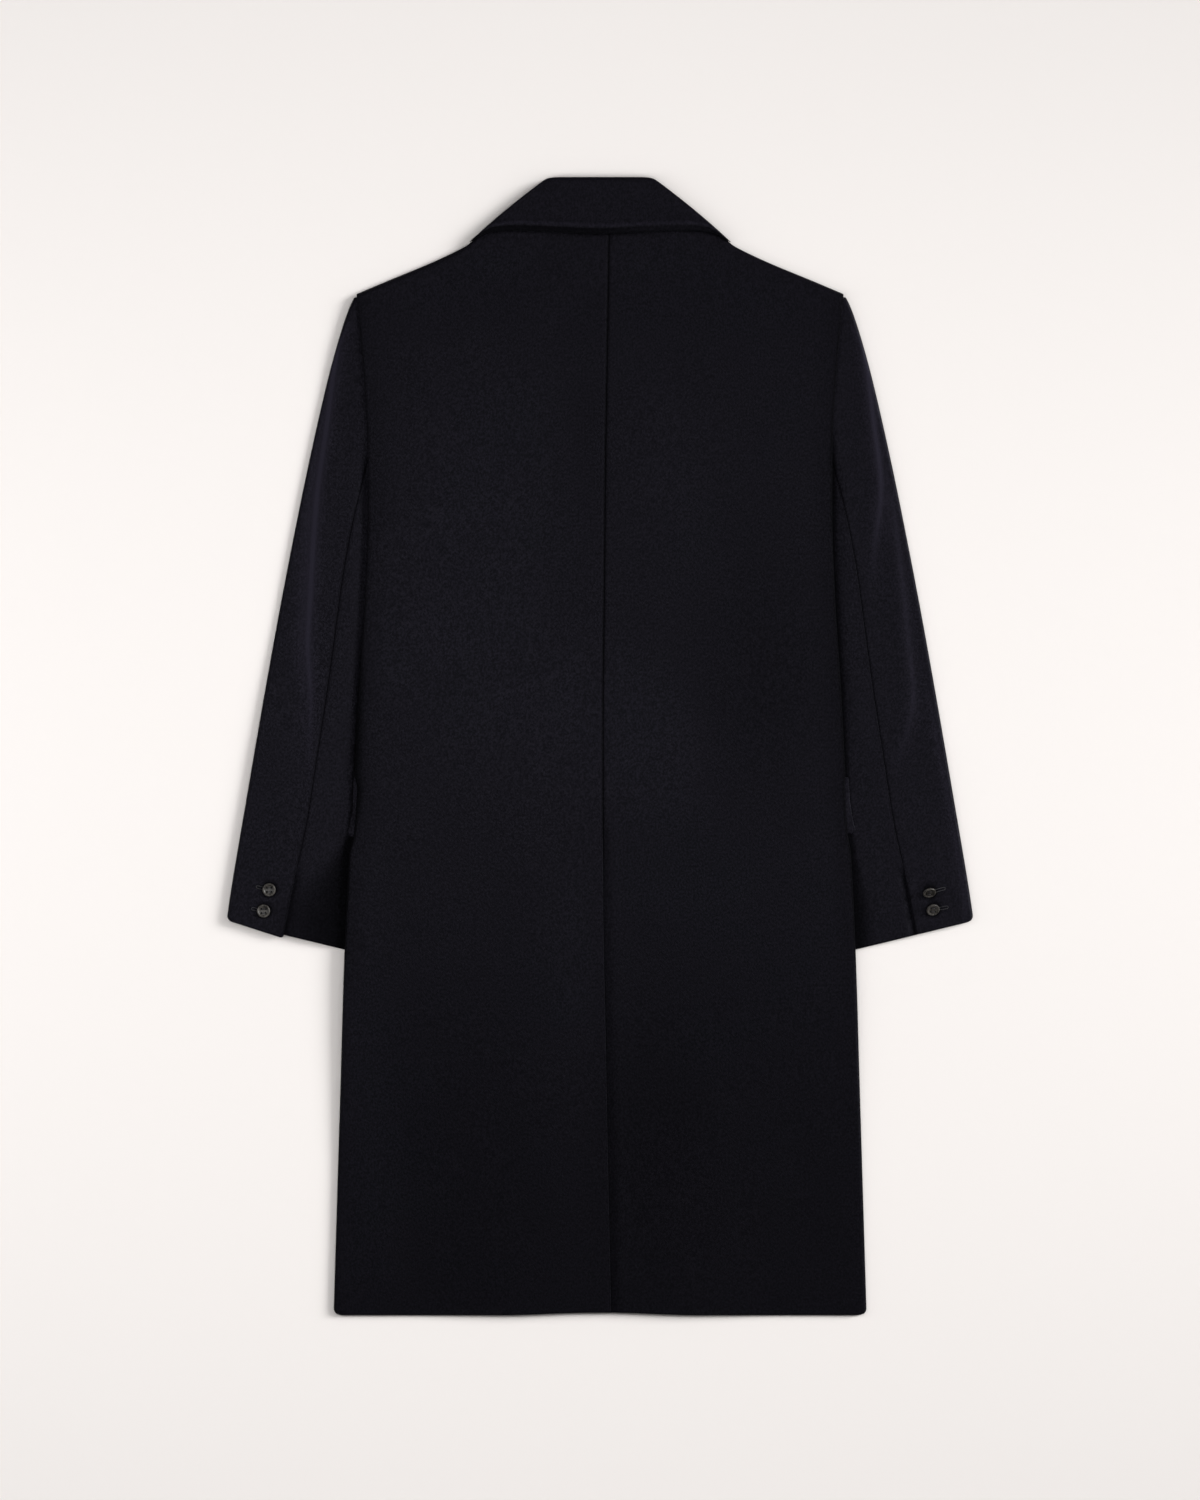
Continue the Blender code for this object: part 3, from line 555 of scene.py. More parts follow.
def left_front_z(x, y):
    return np.maximum(front_lift(x, y), lift(BUTTON_LIFT, np.abs(x), y))


def right_front_z(x, y):
    edge = -roll_line_x(y)
    over = left_front_z(-x, y) + CLOTH + OVERLAP_GAP
    return np.maximum(front_lift(x, y), over * ease(edge + OVERLAP_RUN[1], edge + OVERLAP_RUN[0], x))


FRONT_Z = {LEFT: left_front_z, RIGHT: right_front_z}


def back_z(x, y):
    """Lower face of the back above the floor."""
    upper = mix(BACK_CHEST, BACK_NECK, ease(*BACK_NECK_Y, y))
    hem = mix(BACK_HEM_CENTRE, BACK_HEM_SIDE, ease(*BACK_HEM_X, np.abs(x)))
    return mix(hem, upper, ease(*BACK_HEM_Y, y))


def ripple(x, y):
    """Slight unevenness of pressed wool."""
    rng = np.random.default_rng(RIPPLE_SEED)
    total = 0.0
    for _ in range(RIPPLE_COUNT):
        turn, pitch, phase = rng.uniform((0.0, RIPPLE_PITCH[0], 0.0), (math.pi, RIPPLE_PITCH[1], math.tau))
        along = x * math.cos(turn) + y * math.sin(turn)
        total = total + np.sin(math.tau * along / pitch + phase)
    return RIPPLE_HEIGHT * total


def swell(x, y):
    """Soft rises of the back where the layers under it push up."""
    total = 0.0
    for cx, cy, wide, tall, height in BACK_SWELLS:
        total = total + height * np.exp(-((x - cx) / wide) ** 2 - ((y - cy) / tall) ** 2)
    return total


def back_nap(side, points):
    """Painted light and shade on the back: painted highlight on the swells and the vent's edge, painted
    shade toward the hem, the side edges, the seam, beside the vent and below the collar.
    """
    x, y = points[..., 0], points[..., 1]
    to_side = hemmed_side_x(side, y) - side * x
    edge = faded(SIDE_SHADE, to_side) * ease(*SIDE_SHADE_Y, y)
    reach = curve(SIDE_SHADOW_REACH[side], y)
    edge = np.maximum(edge, ease(reach, SIDE_SHADOW_CORE * reach, to_side) * curve(SIDE_SHADOW_LINE[side], y))
    from_seam = side * (x - centre_x(y))
    vent = vent_open(y)
    if side == RIGHT:
        vent_light_and_shadow = 1.0 - faded(VENT_SHADOW, from_seam) * vent
    else:
        vent_light_and_shadow = 1.0 + faded(VENT_HIGHLIGHT, from_seam) * vent
    line = faded(SEAM_SHADE_LINE, from_seam) * (1.0 - vent)
    below = curve(COLLAR_EDGE, np.abs(x) / COLLAR_EDGE_HALF) - y
    collar = faded(COLLAR_SHADE, below) * (np.abs(x) < COLLAR_EDGE_HALF)
    tone = BACK_SHADE_TONE + SWELL_HIGHLIGHT_PER_RISE * swell(x, y)
    tone = tone * vent_light_and_shadow * (1.0 - line) * (1.0 - HEM_SHADE * ease(*HEM_SHADE_Y, y))
    return tone * (1.0 - edge) * (1.0 - collar)


def sleeve_z(x, y, side):
    """Top of a sleeve above the floor, with its soft folds."""
    foot = mix(SLEEVE_FLAT, SLEEVE_CAP, ease(*CAP_Y, y))
    start = side_x(y) + LOFT_SETBACK
    run = mix(*LOFT_RUN, ease(*LOFT_RUN_Y, y))
    share = np.clip((x - start) / run, 0.0, 1.0)
    z = mix(foot, SLEEVE_LOFT, np.sin(share * math.pi / 2))
    for line, fall, width, fade, _ in SLEEVE_FOLDS[side]:
        middle = curve(line, y)
        z = z - fall * ease(middle - width / 2, middle + width / 2, x) * band(fade, y)
    return z + ripple(side * x, y) - DIMPLE * button_ring(side * x, y, DIMPLE_REACH)


def button_ring(x, y, reach):
    """1 at a cuff button, 0 from reach outside its rim."""
    ring = 0.0
    for low, high in CUFF_BUTTON_BOXES:
        radius = (high.x - low.x) / 2
        away = np.hypot(x - (low.x + high.x) / 2, y - (low.y + high.y) / 2)
        ring = ring + ease(radius + reach, radius, away)
    return ring


def sleeve_nap(side, points):
    """Painted light and shade on a sleeve: painted highlight on the folds' crests, painted shade beside the
    body and the lap, and a painted shadow round each cuff button.
    """
    x, y, z = side * points[..., 0], points[..., 1], points[..., 2]
    # painted highlight on the folds' crests
    crest = 0.0
    for line, _, _, fade, gain in SLEEVE_FOLDS[side]:
        away = x - curve(line, y)
        wide = np.where(away > 0.0, GLOW_WIDTH[1], GLOW_WIDTH[0])
        glow = mix(np.exp(-(away / wide) ** 2), np.exp(-(away / CREST_WIDTH) ** 2), CREST_SHARE)
        crest = crest + gain * glow * band(fade, y)
    # painted shade beside the body and beside the cuff's lap
    reach = mix(*BODY_SHADE_REACH[side], ease(*BODY_SHADE_Y, y))
    body_shade = BODY_SHADE_LOSS * ease(reach, BODY_SHADE_CORE * reach, x - side_x(y)) * ease(*BODY_SHADE_TOP_Y[side], y)
    to_lap = curve(SLEEVE_SEAM, y) - x
    lap = np.where(to_lap > 0.0, faded(LAP_SHADE[side], np.abs(to_lap)) * cuff_open(y), 0.0)
    # painted shadow ring round each cuff button
    shift_x, shift_y = BUTTON_SHADOW_SHIFT
    ring = BUTTON_SHADOW_LOSS * button_ring(points[..., 0] - shift_x, y - shift_y, BUTTON_SHADOW_REACH)
    upper = ease(*UPPER_LEAF_Z, z)
    return 1.0 + upper * ((1.0 + crest) * (1.0 - body_shade) * (1.0 - lap) * (1.0 - ring) - 1.0)


def cloth_wall(outer, inner, nap=None, edge_round=EDGE_ROUND, pressed=EDGE_SHADE_LOSS):
    """Closed wall between two grids of points, its free edges rounded over.

    nap gives the painted light and shade at points; pressed, the share edges lose to painted shade.
    """
    outer, inner = np.array(outer), np.array(inner)
    rows, columns = outer.shape[:2]
    last_r, last_c = rows - 1, columns - 1
    border = [(0, c) for c in range(last_c)] + [(r, last_c) for r in range(last_r)]
    border += [(last_r, c) for c in range(last_c, 0, -1)] + [(r, 0) for r in range(last_r, 0, -1)]
    r, c = np.array(border).T
    inside = np.clip(r, 1, last_r - 1), np.clip(c, 1, last_c - 1)
    out_rim, in_rim = outer[r, c], inner[r, c]
    away = (out_rim - outer[inside] + in_rim - inner[inside]) / 2
    room = np.maximum(np.linalg.norm(away, axis=1, keepdims=True), np.finfo(float).tiny)
    away *= np.minimum(edge_round, EDGE_SHARE * room) / room
    outer[r, c] -= away
    inner[r, c] -= away
    middle, half = (out_rim + in_rim) / 2 - away, (out_rim - in_rim) / 2
    rings = [middle + half * math.cos(turn) + away * math.sin(turn) for turn in EDGE_TURNS]
    points = np.concatenate((outer.reshape(-1, 3), inner.reshape(-1, 3), *rings))

    size = rows * columns
    place = np.arange(size).reshape(rows, columns)
    cells = np.stack((place[:-1, :-1], place[:-1, 1:], place[1:, 1:], place[1:, :-1]), axis=-1)
    cells = cells.reshape(-1, 4)
    loops = [place[r, c]]
    loops += [2 * size + k * len(r) + np.arange(len(r)) for k in range(len(rings))]
    loops.append(size + place[r, c])
    faces = [cells, cells[:, ::-1] + size]
    for near, far in zip(loops, loops[1:]):
        faces.append(np.stack((np.roll(near, -1), near, far, np.roll(far, -1)), axis=-1))
    faces = np.concatenate(faces)
    a, b, _, d = points[cells[len(cells) // 2]]
    if np.dot(np.cross(b - a, d - a), a - points[cells[len(cells) // 2][0] + size]) < 0.0:
        faces = faces[:, ::-1]

    mesh = bpy.data.meshes.new("wall")
    mesh.from_pydata(points.tolist(), [], faces.tolist())
    tones = []
    for grid in (outer, inner):
        tone = np.ones((rows, columns)) if nap is None else nap(grid)
        # painted shade along the edges
        tones.append(tone * (1.0 - faded((EDGE_SHADE_REACH, pressed), edge_distance(grid))))
    rim_tone = np.tile(tones[0][r, c], len(rings))
    tones = np.concatenate((tones[0].ravel(), tones[1].ravel(), rim_tone))
    # painted light and shade, stored on each point and multiplied into the wool's colour
    mesh.attributes.new("nap", "FLOAT", "POINT").data.foreach_set("value", tones)
    mesh.shade_smooth()
    return mesh


def edge_distance(grid):
    """Distance of each grid point from the nearest edge, along its row or column."""
    nearest = np.full(grid.shape[:2], np.inf)
    for axis in (0, 1):
        steps = np.linalg.norm(np.diff(grid, axis=axis), axis=2)
        start = np.zeros_like(np.take(steps, [0], axis=axis))
        run = np.concatenate((start, np.cumsum(steps, axis=axis)), axis=axis)
        nearest = np.minimum(nearest, np.minimum(run, np.take(run, [-1], axis=axis) - run))
    return nearest


def add_object(name, mesh, material=None):
    piece = bpy.data.objects.new(name, mesh)
    bpy.context.scene.collection.objects.link(piece)
    if material is not None:
        mesh.materials.clear()
        mesh.materials.append(material)
    return piece


def add_cloth(node, mesh):
    """Cloth piece that stands for a node, in place of the node's part, which is hidden."""
    wool = shared_material("napped_navy_wool", dress_wool, bpy.context.scene.coat_cloth)
    name = f"{node}_cloth"
    mesh.name = name
    piece = add_object(name, mesh, wool)
    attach(piece, "root")
    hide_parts(node)


def body_rows(step):
    """(share below the shoulder line or None, level or None, shoulder turn) per row."""
    rows = [(0.0, None, turn) for turn in reversed(SIDE_TURNS)]
    rows += [(share, None, 0.0) for share in spread(0.0, 1.0, step / (SHOULDER_LINE[0][1] - YOKE_Y))]
    corner = -HALF_LENGTH + HEM_CORNER * HEM_CORNER_STEPS
    levels = np.concatenate((spread(YOKE_Y, corner[0], step)[1:-1], corner))
    return rows + [(None, y, 0.0) for y in levels]


def seam_z(side, x, y):
    """Height where the back and the front of a side meet."""
    return (back_z(x, y) + CLOTH + FRONT_Z[side](x, y)) / 2


def body_grid(side, inner_x, near_steps, face_z, up, step, depth):
    """Grid of a back or front half; depth goes into the cloth from its outer face.

    inner_x gives the inner edge at a height and near_steps the first steps from it, face_z the
    outer face's height, and up is 1 when the outer face looks up.
    """
    grid = []
    middle = np.linspace(0.0, 1.0, round(SIDE_EDGE[-1][1] / step) + 1)[1:]
    for share, level, turn in body_rows(step):
        near_y = level if share is None else mix(SHOULDER_LINE[0][1], YOKE_Y, share)
        far_y = level if share is None else mix(SHOULDER_LINE[-1][1], YOKE_Y, share)
        far_x = hemmed_side_x(side, far_y) - SIDE_ROLL
        near = inner_x(near_y) + near_steps(near_y)
        flat_x = np.concatenate((near, mix(near[-1], far_x, middle), np.full(len(SIDE_TURNS), far_x)))
        angle = np.concatenate((np.zeros(len(flat_x) - len(SIDE_TURNS)), SIDE_TURNS))
        x = flat_x + (SIDE_ROLL - depth) * np.sin(angle)
        if share is None:
            centred = ease(*reversed(HEM_RISE_X), np.abs(x)) * ease(HEM_RISE_Y, -HALF_LENGTH, level)
            y = level + HEM_RISE * centred
        else:
            y = mix(curve(SHOULDER_LINE, x) - SHOULDER_ROLL, YOKE_Y, share)
            y = y + (SHOULDER_ROLL - depth) * math.sin(turn)
        flat = face_z(x, y)
        room = np.abs(flat - seam_z(side, x, y)) - SEAM / 2
        armhole_drop = ARMHOLE_DROP if up > 0 else FRONT_ARMHOLE_RISE
        side_drop = mix(armhole_drop, room, ease(*reversed(ARMHOLE_Y), far_y))
        top_drop = mix(NECK_DROP, room, ease(*NECK_X, x))
        fall = np.maximum((side_drop - depth) * (1.0 - np.cos(angle)),
                          (top_drop - depth) * (1.0 - math.cos(turn)))
        grid.append(row_points(side * x, y, flat - up * (depth + fall)))
    return grid


def centre_x(y):
    return curve(CENTRE_SEAM, y)


def vent_open(y):
    """1 along the open vent, 0 above it."""
    return ease(VENT_TOP + VENT_RUN / 2, VENT_TOP, y)


def vent_lap(y):
    return VENT_LAP * ease(VENT_TOP, VENT_TOP - VENT_RUN, y)


def back_inner_x(side, y):
    """Inner edge of a back half on its own side."""
    return side * centre_x(y) + BACK_SEAM / 2 - (vent_lap(y) if side == RIGHT else 0.0)


def back_steps(side, y):
    if side == LEFT:
        return SEAM_STEPS
    lap = vent_lap(y)
    first = np.array((0.0, max(lap / 2, LAP_STEP)))
    return np.concatenate((first, lap + SEAM_STEPS[2:]))


def back_top_z(side, x, y):
    """Outer face of a back half: soft swells, the seam's groove, and the vent's step."""
    z = back_z(x, y) + CLOTH + swell(side * x, y) + ripple(side * x, y)
    away = np.abs(x - side * centre_x(y))
    vent = vent_open(y)
    z = z - faded(CENTRE_DIP, away) * (1.0 - vent)
    if side == RIGHT:
        seam = centre_x(y)
        dip = ease(seam + VENT_STEP[1], seam + VENT_STEP[0], x)
        z = z - (CLOTH + GAP) * dip * ease(VENT_TOP + VENT_RUN, VENT_TOP, y)
    return z


def body_wall(side, cloth, *form, **finish):
    """Wall of a back or front half of the form that body_grid takes."""
    grids = [body_grid(side, *form, depth) for depth in (0.0, cloth.thickness)]
    return cloth_wall(*grids, **finish)


def back_mesh(side, cloth):
    return body_wall(side, cloth, partial(back_inner_x, side), partial(back_steps, side),
                     partial(back_top_z, side), 1, BODY_STEP, nap=partial(back_nap, side),
                     pressed=BACK_EDGE_SHADE_LOSS)


def front_mesh(side, cloth):
    return body_wall(side, cloth, roll_line_x, lambda y: SEAM_STEPS, FRONT_Z[side], -1, HIDDEN_STEP)


def lapel_mesh(side, cloth):
    rows = np.concatenate((spread(LAPEL_TOP_Y, GORGE_END[1], HIDDEN_STEP),
                           spread(GORGE_END[1], LAPEL_PEAK[1], HIDDEN_STEP)[1:],
                           spread(LAPEL_PEAK[1], LAPEL_FOOT_Y[side], HIDDEN_STEP)[1:]))
    outer = []
    for y in rows:
        near = roll_line_x(y) + SEAM
        if side == RIGHT:
            near = max(near, -roll_line_x(y) + 2 * SEAM)
        x = mix(near, lapel_edge_x(y) - GORGE_GAP, LAPEL_SHARES)
        z = faded(LAPEL_ROLL, x - near) if near == roll_line_x(y) + SEAM else 0.0
        outer.append(row_points(side * x, y, z))
    outer = np.array(outer)
    inner = outer + (0.0, 0.0, cloth.thickness)
    inner[..., 2] = np.minimum(inner[..., 2], LAPEL_LIFT[0] - GAP / 2)
    return cloth_wall(outer, inner)


def sleeve_row(outer_y):
    """(x, y, slope) of the line across a sleeve that starts at this height on its outer edge."""
    slope = CUFF_SLOPE * np.clip((SLANT_TOP_Y - outer_y) / (SLANT_TOP_Y - CUFF_CORNER_Y), 0.0, 1.0)
    return curve(SLEEVE_OUTER, outer_y), outer_y, slope


def row_y(row, x):
    outer_x, outer_y, slope = row
    return outer_y - slope * (outer_x - x)


def cross(line, row):
    """x where a sleeve row meets a lengthwise line."""
    x = row[0]
    for _ in range(CROSS_ROUNDS):
        x = line(row_y(row, x))
    return float(x)


def sewn_line(table, y):
    """x of a sleeve seam, which follows the armhole above its own rows."""
    return side_x(y) + ARMHOLE_SEAM if y > table[0][0] else curve(table, y)


def cuff_open(y):
    """1 along the cuff's open lap, 0 above it."""
    return ease(CUFF_VENT_Y[1], CUFF_VENT_Y[0], y)


def tube_row(side, start_x, edge_x, end_x, row, depth, top_z):
    """Points from start_x on the upper face, round the fold at edge_x, to end_x below."""
    toward = 1.0 if edge_x > start_x else -1.0
    reach = min(SLEEVE_ROLL, ROLL_SHARE * abs(edge_x - start_x))
    fold_x = edge_x - toward * reach
    top_x = mix(start_x, fold_x, TOP_SHARES[:-1])
    half = float(top_z(fold_x, row_y(row, fold_x))) / 2
    turn_x = fold_x + toward * (reach - min(depth, TURN_SHARE * reach)) * np.sin(TUBE_TURNS)
    low_x = mix(fold_x, end_x, LOW_SHARES[1:])
    x = np.concatenate((top_x, turn_x, low_x))
    z = np.concatenate((top_z(top_x, row_y(row, top_x)) - depth,
                        half + (half - depth) * np.cos(TUBE_TURNS), np.full_like(low_x, depth)))
    return row_points(side * x, row_y(row, x), z)


def cuff_rows(top_y):
    """Heights on the outer edge from top_y to the cuff, close together at its corner."""
    corner = CUFF_CORNER_Y + CUFF_CORNER * CUFF_CORNER_STEPS
    arm = spread(top_y, CUFF_TOP_Y, BODY_STEP)[:-1]
    return np.concatenate((arm, spread(CUFF_TOP_Y, corner[0], CUFF_STEP)[:-1], corner))


def sleeve_wall(side, cloth, rows, tube):
    """Wall of a sleeve piece; tube gives the points of a row at a depth into the cloth."""
    grids = [[tube(y, depth) for y in rows] for depth in (0.0, cloth.thickness)]
    return cloth_wall(*grids, nap=partial(sleeve_nap, side), pressed=SLEEVE_EDGE_SHADE_LOSS)


def top_sleeve_mesh(side, cloth):
    foot_y = CUFF_CORNER_Y

    def tube(y, depth):
        row = sleeve_row(y)
        seam = cross(partial(sewn_line, SLEEVE_SEAM), row)
        tuck = ARMHOLE_TUCK * float(ease(*TUCK_Y, y))
        start = seam - tuck + float(corner_inset(LAP_CORNER, y - foot_y))
        edge = row[0] - float(corner_inset(CUFF_CORNER, y - foot_y))
        end = cross(partial(sewn_line, FOREARM_SEAM), row)

        def top_z(x, at_y):
            groove = faded(SLEEVE_DIP, x - seam) * (1.0 - cuff_open(at_y))
            return sleeve_z(x, at_y, side) - groove

        points = tube_row(side, start, edge, end, row, depth, top_z)
        hang = CUFF_OVERHANG[side] * ease(foot_y + OVERHANG_RUN, foot_y, y)
        points[:len(TOP_SHARES), 1] -= hang * (1.0 - TOP_SHARES)
        return points

    cap = CAP_TOP_Y - (CAP_TOP_Y - ARM_TOP_Y) * CAP_SHARES
    return sleeve_wall(side, cloth, np.concatenate((cap, cuff_rows(ARM_TOP_Y))), tube)


def under_sleeve_mesh(side, cloth):
    def tube(y, depth):
        row = sleeve_row(y)
        seam = cross(partial(sewn_line, SLEEVE_SEAM), row) - SEAM
        start = seam + CUFF_LAP * float(cuff_open(row_y(row, seam)))
        edge = cross(partial(curve, SLEEVE_INNER), row)
        end = cross(partial(sewn_line, FOREARM_SEAM), row) - SEAM

        def top_z(x, at_y):
            open_lap = cuff_open(at_y)
            groove = faded(SLEEVE_DIP, seam - x) * (1.0 - open_lap)
            under = CUFF_LAP_DROP * ease(seam - CUFF_LAP_RUN, seam, x) * open_lap
            tuck = ARMPIT_DROP * ease(ARM_TOP_Y, ARMPIT_TUCK_Y, at_y)
            return sleeve_z(x, at_y, side) - groove - under - tuck

        return tube_row(side, start, edge, end, row, depth, top_z)

    return sleeve_wall(side, cloth, cuff_rows(ARMPIT_TUCK_Y), tube)


def flap_mesh(side, cloth):
    outer = []
    for drop in FLAP_DROPS:
        y = mix(FLAP_TOP_Y, FLAP_BOTTOM_Y[side], drop)
        inset = float(corner_inset(FLAP_CORNER, y - FLAP_BOTTOM_Y[side]))
        x = mix(FLAP_INNER_X + inset, curve(FLAP_OUTER[side], y) - inset, FLAP_SHARES)
        outer.append(row_points(side * x, y, lift(SLEEVE_LIFT, x, y)))
    outer = np.array(outer)
    return cloth_wall(outer, outer + (0.0, 0.0, cloth.thickness), pressed=0.0,
                      nap=lambda points: np.full(points.shape[:2], FLAP_LIGHT))


def collar_row(share, depth):
    """Around the collar at one share of the way from its fold to its edge."""
    half = mix(COLLAR_TOP_HALF, COLLAR_EDGE_HALF, share) + COLLAR_BULGE * share * (1.0 - share)
    fold = half - COLLAR_ROLL
    end_x = mix(COLLAR_FRONT_FOLD[0], COLLAR_FRONT_POINT[0], share)
    end_y = mix(COLLAR_FRONT_FOLD[1], COLLAR_FRONT_POINT[1], share)

    def height_y(x):
        part = np.minimum(1.0, np.abs(x) / half)
        drop, power = COLLAR_CORNER
        return mix(HALF_LENGTH - drop * part ** power, curve(COLLAR_EDGE, part), share)

    fall_length = HALF_LENGTH - COLLAR_EDGE[0][1]
    turned = max(0.0, 1.0 - share * fall_length / COLLAR_FOLD_REACH)
    top = COLLAR_TOP_Z - COLLAR_FOLD_DROP * (1.0 - math.sqrt(1.0 - turned * turned))
    rise, drop, reach = COLLAR_WELT
    to_edge = (1.0 - share) * fall_length
    welt = rise * ease(WELT_START * reach, reach, to_edge) - (rise + drop) * ease(reach, 0.0, to_edge)

    turns = TUBE_TURNS[::-1]
    turn_x = fold + (COLLAR_ROLL - depth) * np.sin(turns)
    leaf_x = mix(fold, end_x, LEAF_SHARES)
    leaf_y = mix(height_y(fold), end_y, LEAF_SHARES)
    side_top = top + welt
    x = np.concatenate((leaf_x, turn_x))
    y = np.concatenate((leaf_y, height_y(turn_x)))
    turn_z = side_top / 2 + (side_top / 2 - depth) * np.cos(turns)
    z = np.concatenate((np.full_like(LEAF_SHARES, depth), turn_z))
    middle = np.linspace(-fold, fold, COLLAR_COLUMNS)[1:-1]
    xs = np.concatenate((-x, middle, x[::-1]))
    ys = np.concatenate((y, height_y(middle), y[::-1]))
    zs = np.concatenate((z, side_top - depth + ripple(middle, height_y(middle)), z[::-1]))
    return row_points(xs, ys, zs)


def collar_mesh(cloth):
    length = HALF_LENGTH - COLLAR_EDGE[0][1]
    fold = COLLAR_FOLD_REACH / length * COLLAR_FOLD_SHARES
    between = spread(fold[-1], COLLAR_EDGE_SHARES[0], COLLAR_STEP)[1:-1]
    shares = np.concatenate((fold, between, COLLAR_EDGE_SHARES))
    grids = [[collar_row(share, depth) for share in shares] for depth in (0.0, cloth.collar_thickness)]
    from_edge = ((1.0 - shares) * length)[:, None]

    # painted highlight along the collar's rolled edge, and painted shade on the rolled face below it
    def collar_nap(points):
        gain, crest, width = WELT_HIGHLIGHT
        start, full, loss = WELT_SHADE
        uneven = mix(1.0, WELT_SHADE_LEAST, ease(*WELT_SHADE_X, points[..., 0]))
        light = 1.0 + gain * np.exp(-((from_edge - crest) / width) ** 2)
        return light * (1.0 - loss * uneven * ease(start, full, from_edge))

    return cloth_wall(*grids, edge_round=COLLAR_EDGE_ROUND, nap=collar_nap)


def stand_mesh(cloth):
    outer = []
    for share in np.linspace(0.0, 1.0, STAND_ROWS):
        half = mix(STAND_FOOT_HALF, STAND_TOP_HALF, share)
        x = np.linspace(-half, half, STAND_COLUMNS)
        outer.append(row_points(x, mix(STAND_FOOT_Y, STAND_TOP_Y, share), BACK_NECK + CLOTH))
    outer = np.array(outer)
    return cloth_wall(outer, outer - (0.0, 0.0, cloth.thickness))


def opaque(colour):
    return (*colour, 1.0)


def shared_material(name, dress, settings):
    """The material of this name, dressed when it is first asked for."""
    if name not in bpy.data.materials:
        material = bpy.data.materials.new(name)
        material.use_nodes = True
        dress(material.node_tree, material.node_tree.nodes["Principled BSDF"], settings)
    return bpy.data.materials[name]


def fill(tree, node, inputs):
    """Set a node's inputs by name or number; a socket given as a value is linked."""
    for key, value in inputs.items():
        if isinstance(value, bpy.types.NodeSocket):
            tree.links.new(value, node.inputs[key])
        else:
            node.inputs[key].default_value = value


def put(tree, kind, inputs=None, **settings):
    """New node with its settings and inputs."""
    node = tree.nodes.new(kind)
    for name, value in settings.items():
        setattr(node, name, value)
    fill(tree, node, inputs or {})
    return node


def work_out(tree, operation, first, second):
    return put(tree, "ShaderNodeMath", {0: first, 1: second}, operation=operation).outputs[0]


def remap(tree, value, low, high, new_low=0.0, new_high=1.0):
    inputs = {"Value": value, "From Min": low, "From Max": high, "To Min": new_low, "To Max": new_high}
    return put(tree, "ShaderNodeMapRange", inputs).outputs[0]


def noise(tree, where, scale, detail, roughness, distortion=0.0):
    inputs = {"Vector": where, "Scale": scale, "Detail": detail, "Roughness": roughness,
              "Distortion": distortion}
    return put(tree, "ShaderNodeTexNoise", inputs).outputs[0]


def bumped(tree, height, strength, distance):
    inputs = {"Height": height, "Strength": strength, "Distance": distance}
    return put(tree, "ShaderNodeBump", inputs).outputs[0]


def mix_colours(tree, factor, first, second, blend="MIX"):
    node = put(tree, "ShaderNodeMix", data_type="RGBA", blend_type=blend)
    fill(tree, node, {0: factor, 6: first, 7: second})
    return node.outputs[2]


def nap_group():
    """Shader group of felted wool: light and dark tufts, and the height of the nap."""
    name = "felted_nap"
    if name in bpy.data.node_groups:
        return bpy.data.node_groups[name]
    tree = bpy.data.node_groups.new(name, "ShaderNodeTree")
    face = tree.interface
    face.new_socket("Grain", in_out="INPUT", socket_type="NodeSocketFloat")
    face.new_socket("Streak", in_out="INPUT", socket_type="NodeSocketVector")
    for output in ("Fibre", "Height"):
        face.new_socket(output, in_out="OUTPUT", socket_type="NodeSocketFloat")
    given = put(tree, "NodeGroupInput").outputs
    where = put(tree, "ShaderNodeTexCoord").outputs["Object"]
    drawn = put(tree, "ShaderNodeMapping", {"Vector": where, "Scale": given["Streak"]}).outputs[0]
    pitch = work_out(tree, "DIVIDE", 1.0, given["Grain"])
    tufts = noise(tree, drawn, pitch, *TUFT_NOISE)
    fibres = noise(tree, drawn, work_out(tree, "MULTIPLY", pitch, FIBRES_PER_TUFT), *TUFT_NOISE)
    both = put(tree, "ShaderNodeMix", {0: FIBRE_SHARE, 2: tufts, 3: fibres}).outputs[0]
    fine = remap(tree, both, *FIBRE_RANGE)
    broad = remap(tree, noise(tree, where, *PATCH_NOISE), *PATCH_RANGE, *PATCH_TONE)
    put(tree, "NodeGroupOutput", {"Fibre": work_out(tree, "MULTIPLY", fine, broad), "Height": both})
    return tree


def add_nap(tree, grain, streak):
    return put(tree, "ShaderNodeGroup", {"Grain": grain, "Streak": streak}, node_tree=nap_group()).outputs


def dress_wool(tree, shader, cloth):
    """Napped wool, with light and shade painted into its colour by the nap value of its points."""
    nap = add_nap(tree, cloth.grain, NAP_STREAK)
    painted_light_and_shade = put(tree, "ShaderNodeAttribute", attribute_name="nap").outputs["Fac"]
    colour = mix_colours(tree, nap["Fibre"], opaque(cloth.wool_colour), opaque(cloth.fibre_colour))
    # painted light and shade: the point value darkens or lightens the colour, and its top turns it to the
    # painted crest highlight colour
    flat = remap(tree, painted_light_and_shade, 0.0, HIGHLIGHT_RANGE[0], 0.0, HIGHLIGHT_RANGE[0])
    colour = mix_colours(tree, 1.0, colour, flat, "MULTIPLY")
    colour = mix_colours(tree, remap(tree, painted_light_and_shade, *HIGHLIGHT_RANGE), colour, opaque(cloth.crest_highlight_colour))
    fibre = remap(tree, nap["Fibre"], 0.0, 1.0, *WOOL_ROUGHNESS)
    shade_roughness = remap(tree, painted_light_and_shade, 0.0, 1.0, SHADE_ROUGHNESS, 0.0)
    fill(tree, shader, {"Base Color": colour, "Roughness": work_out(tree, "ADD", fibre, shade_roughness),
                        "Normal": bumped(tree, nap["Height"], *WOOL_BUMP), **WOOL_SHINE})


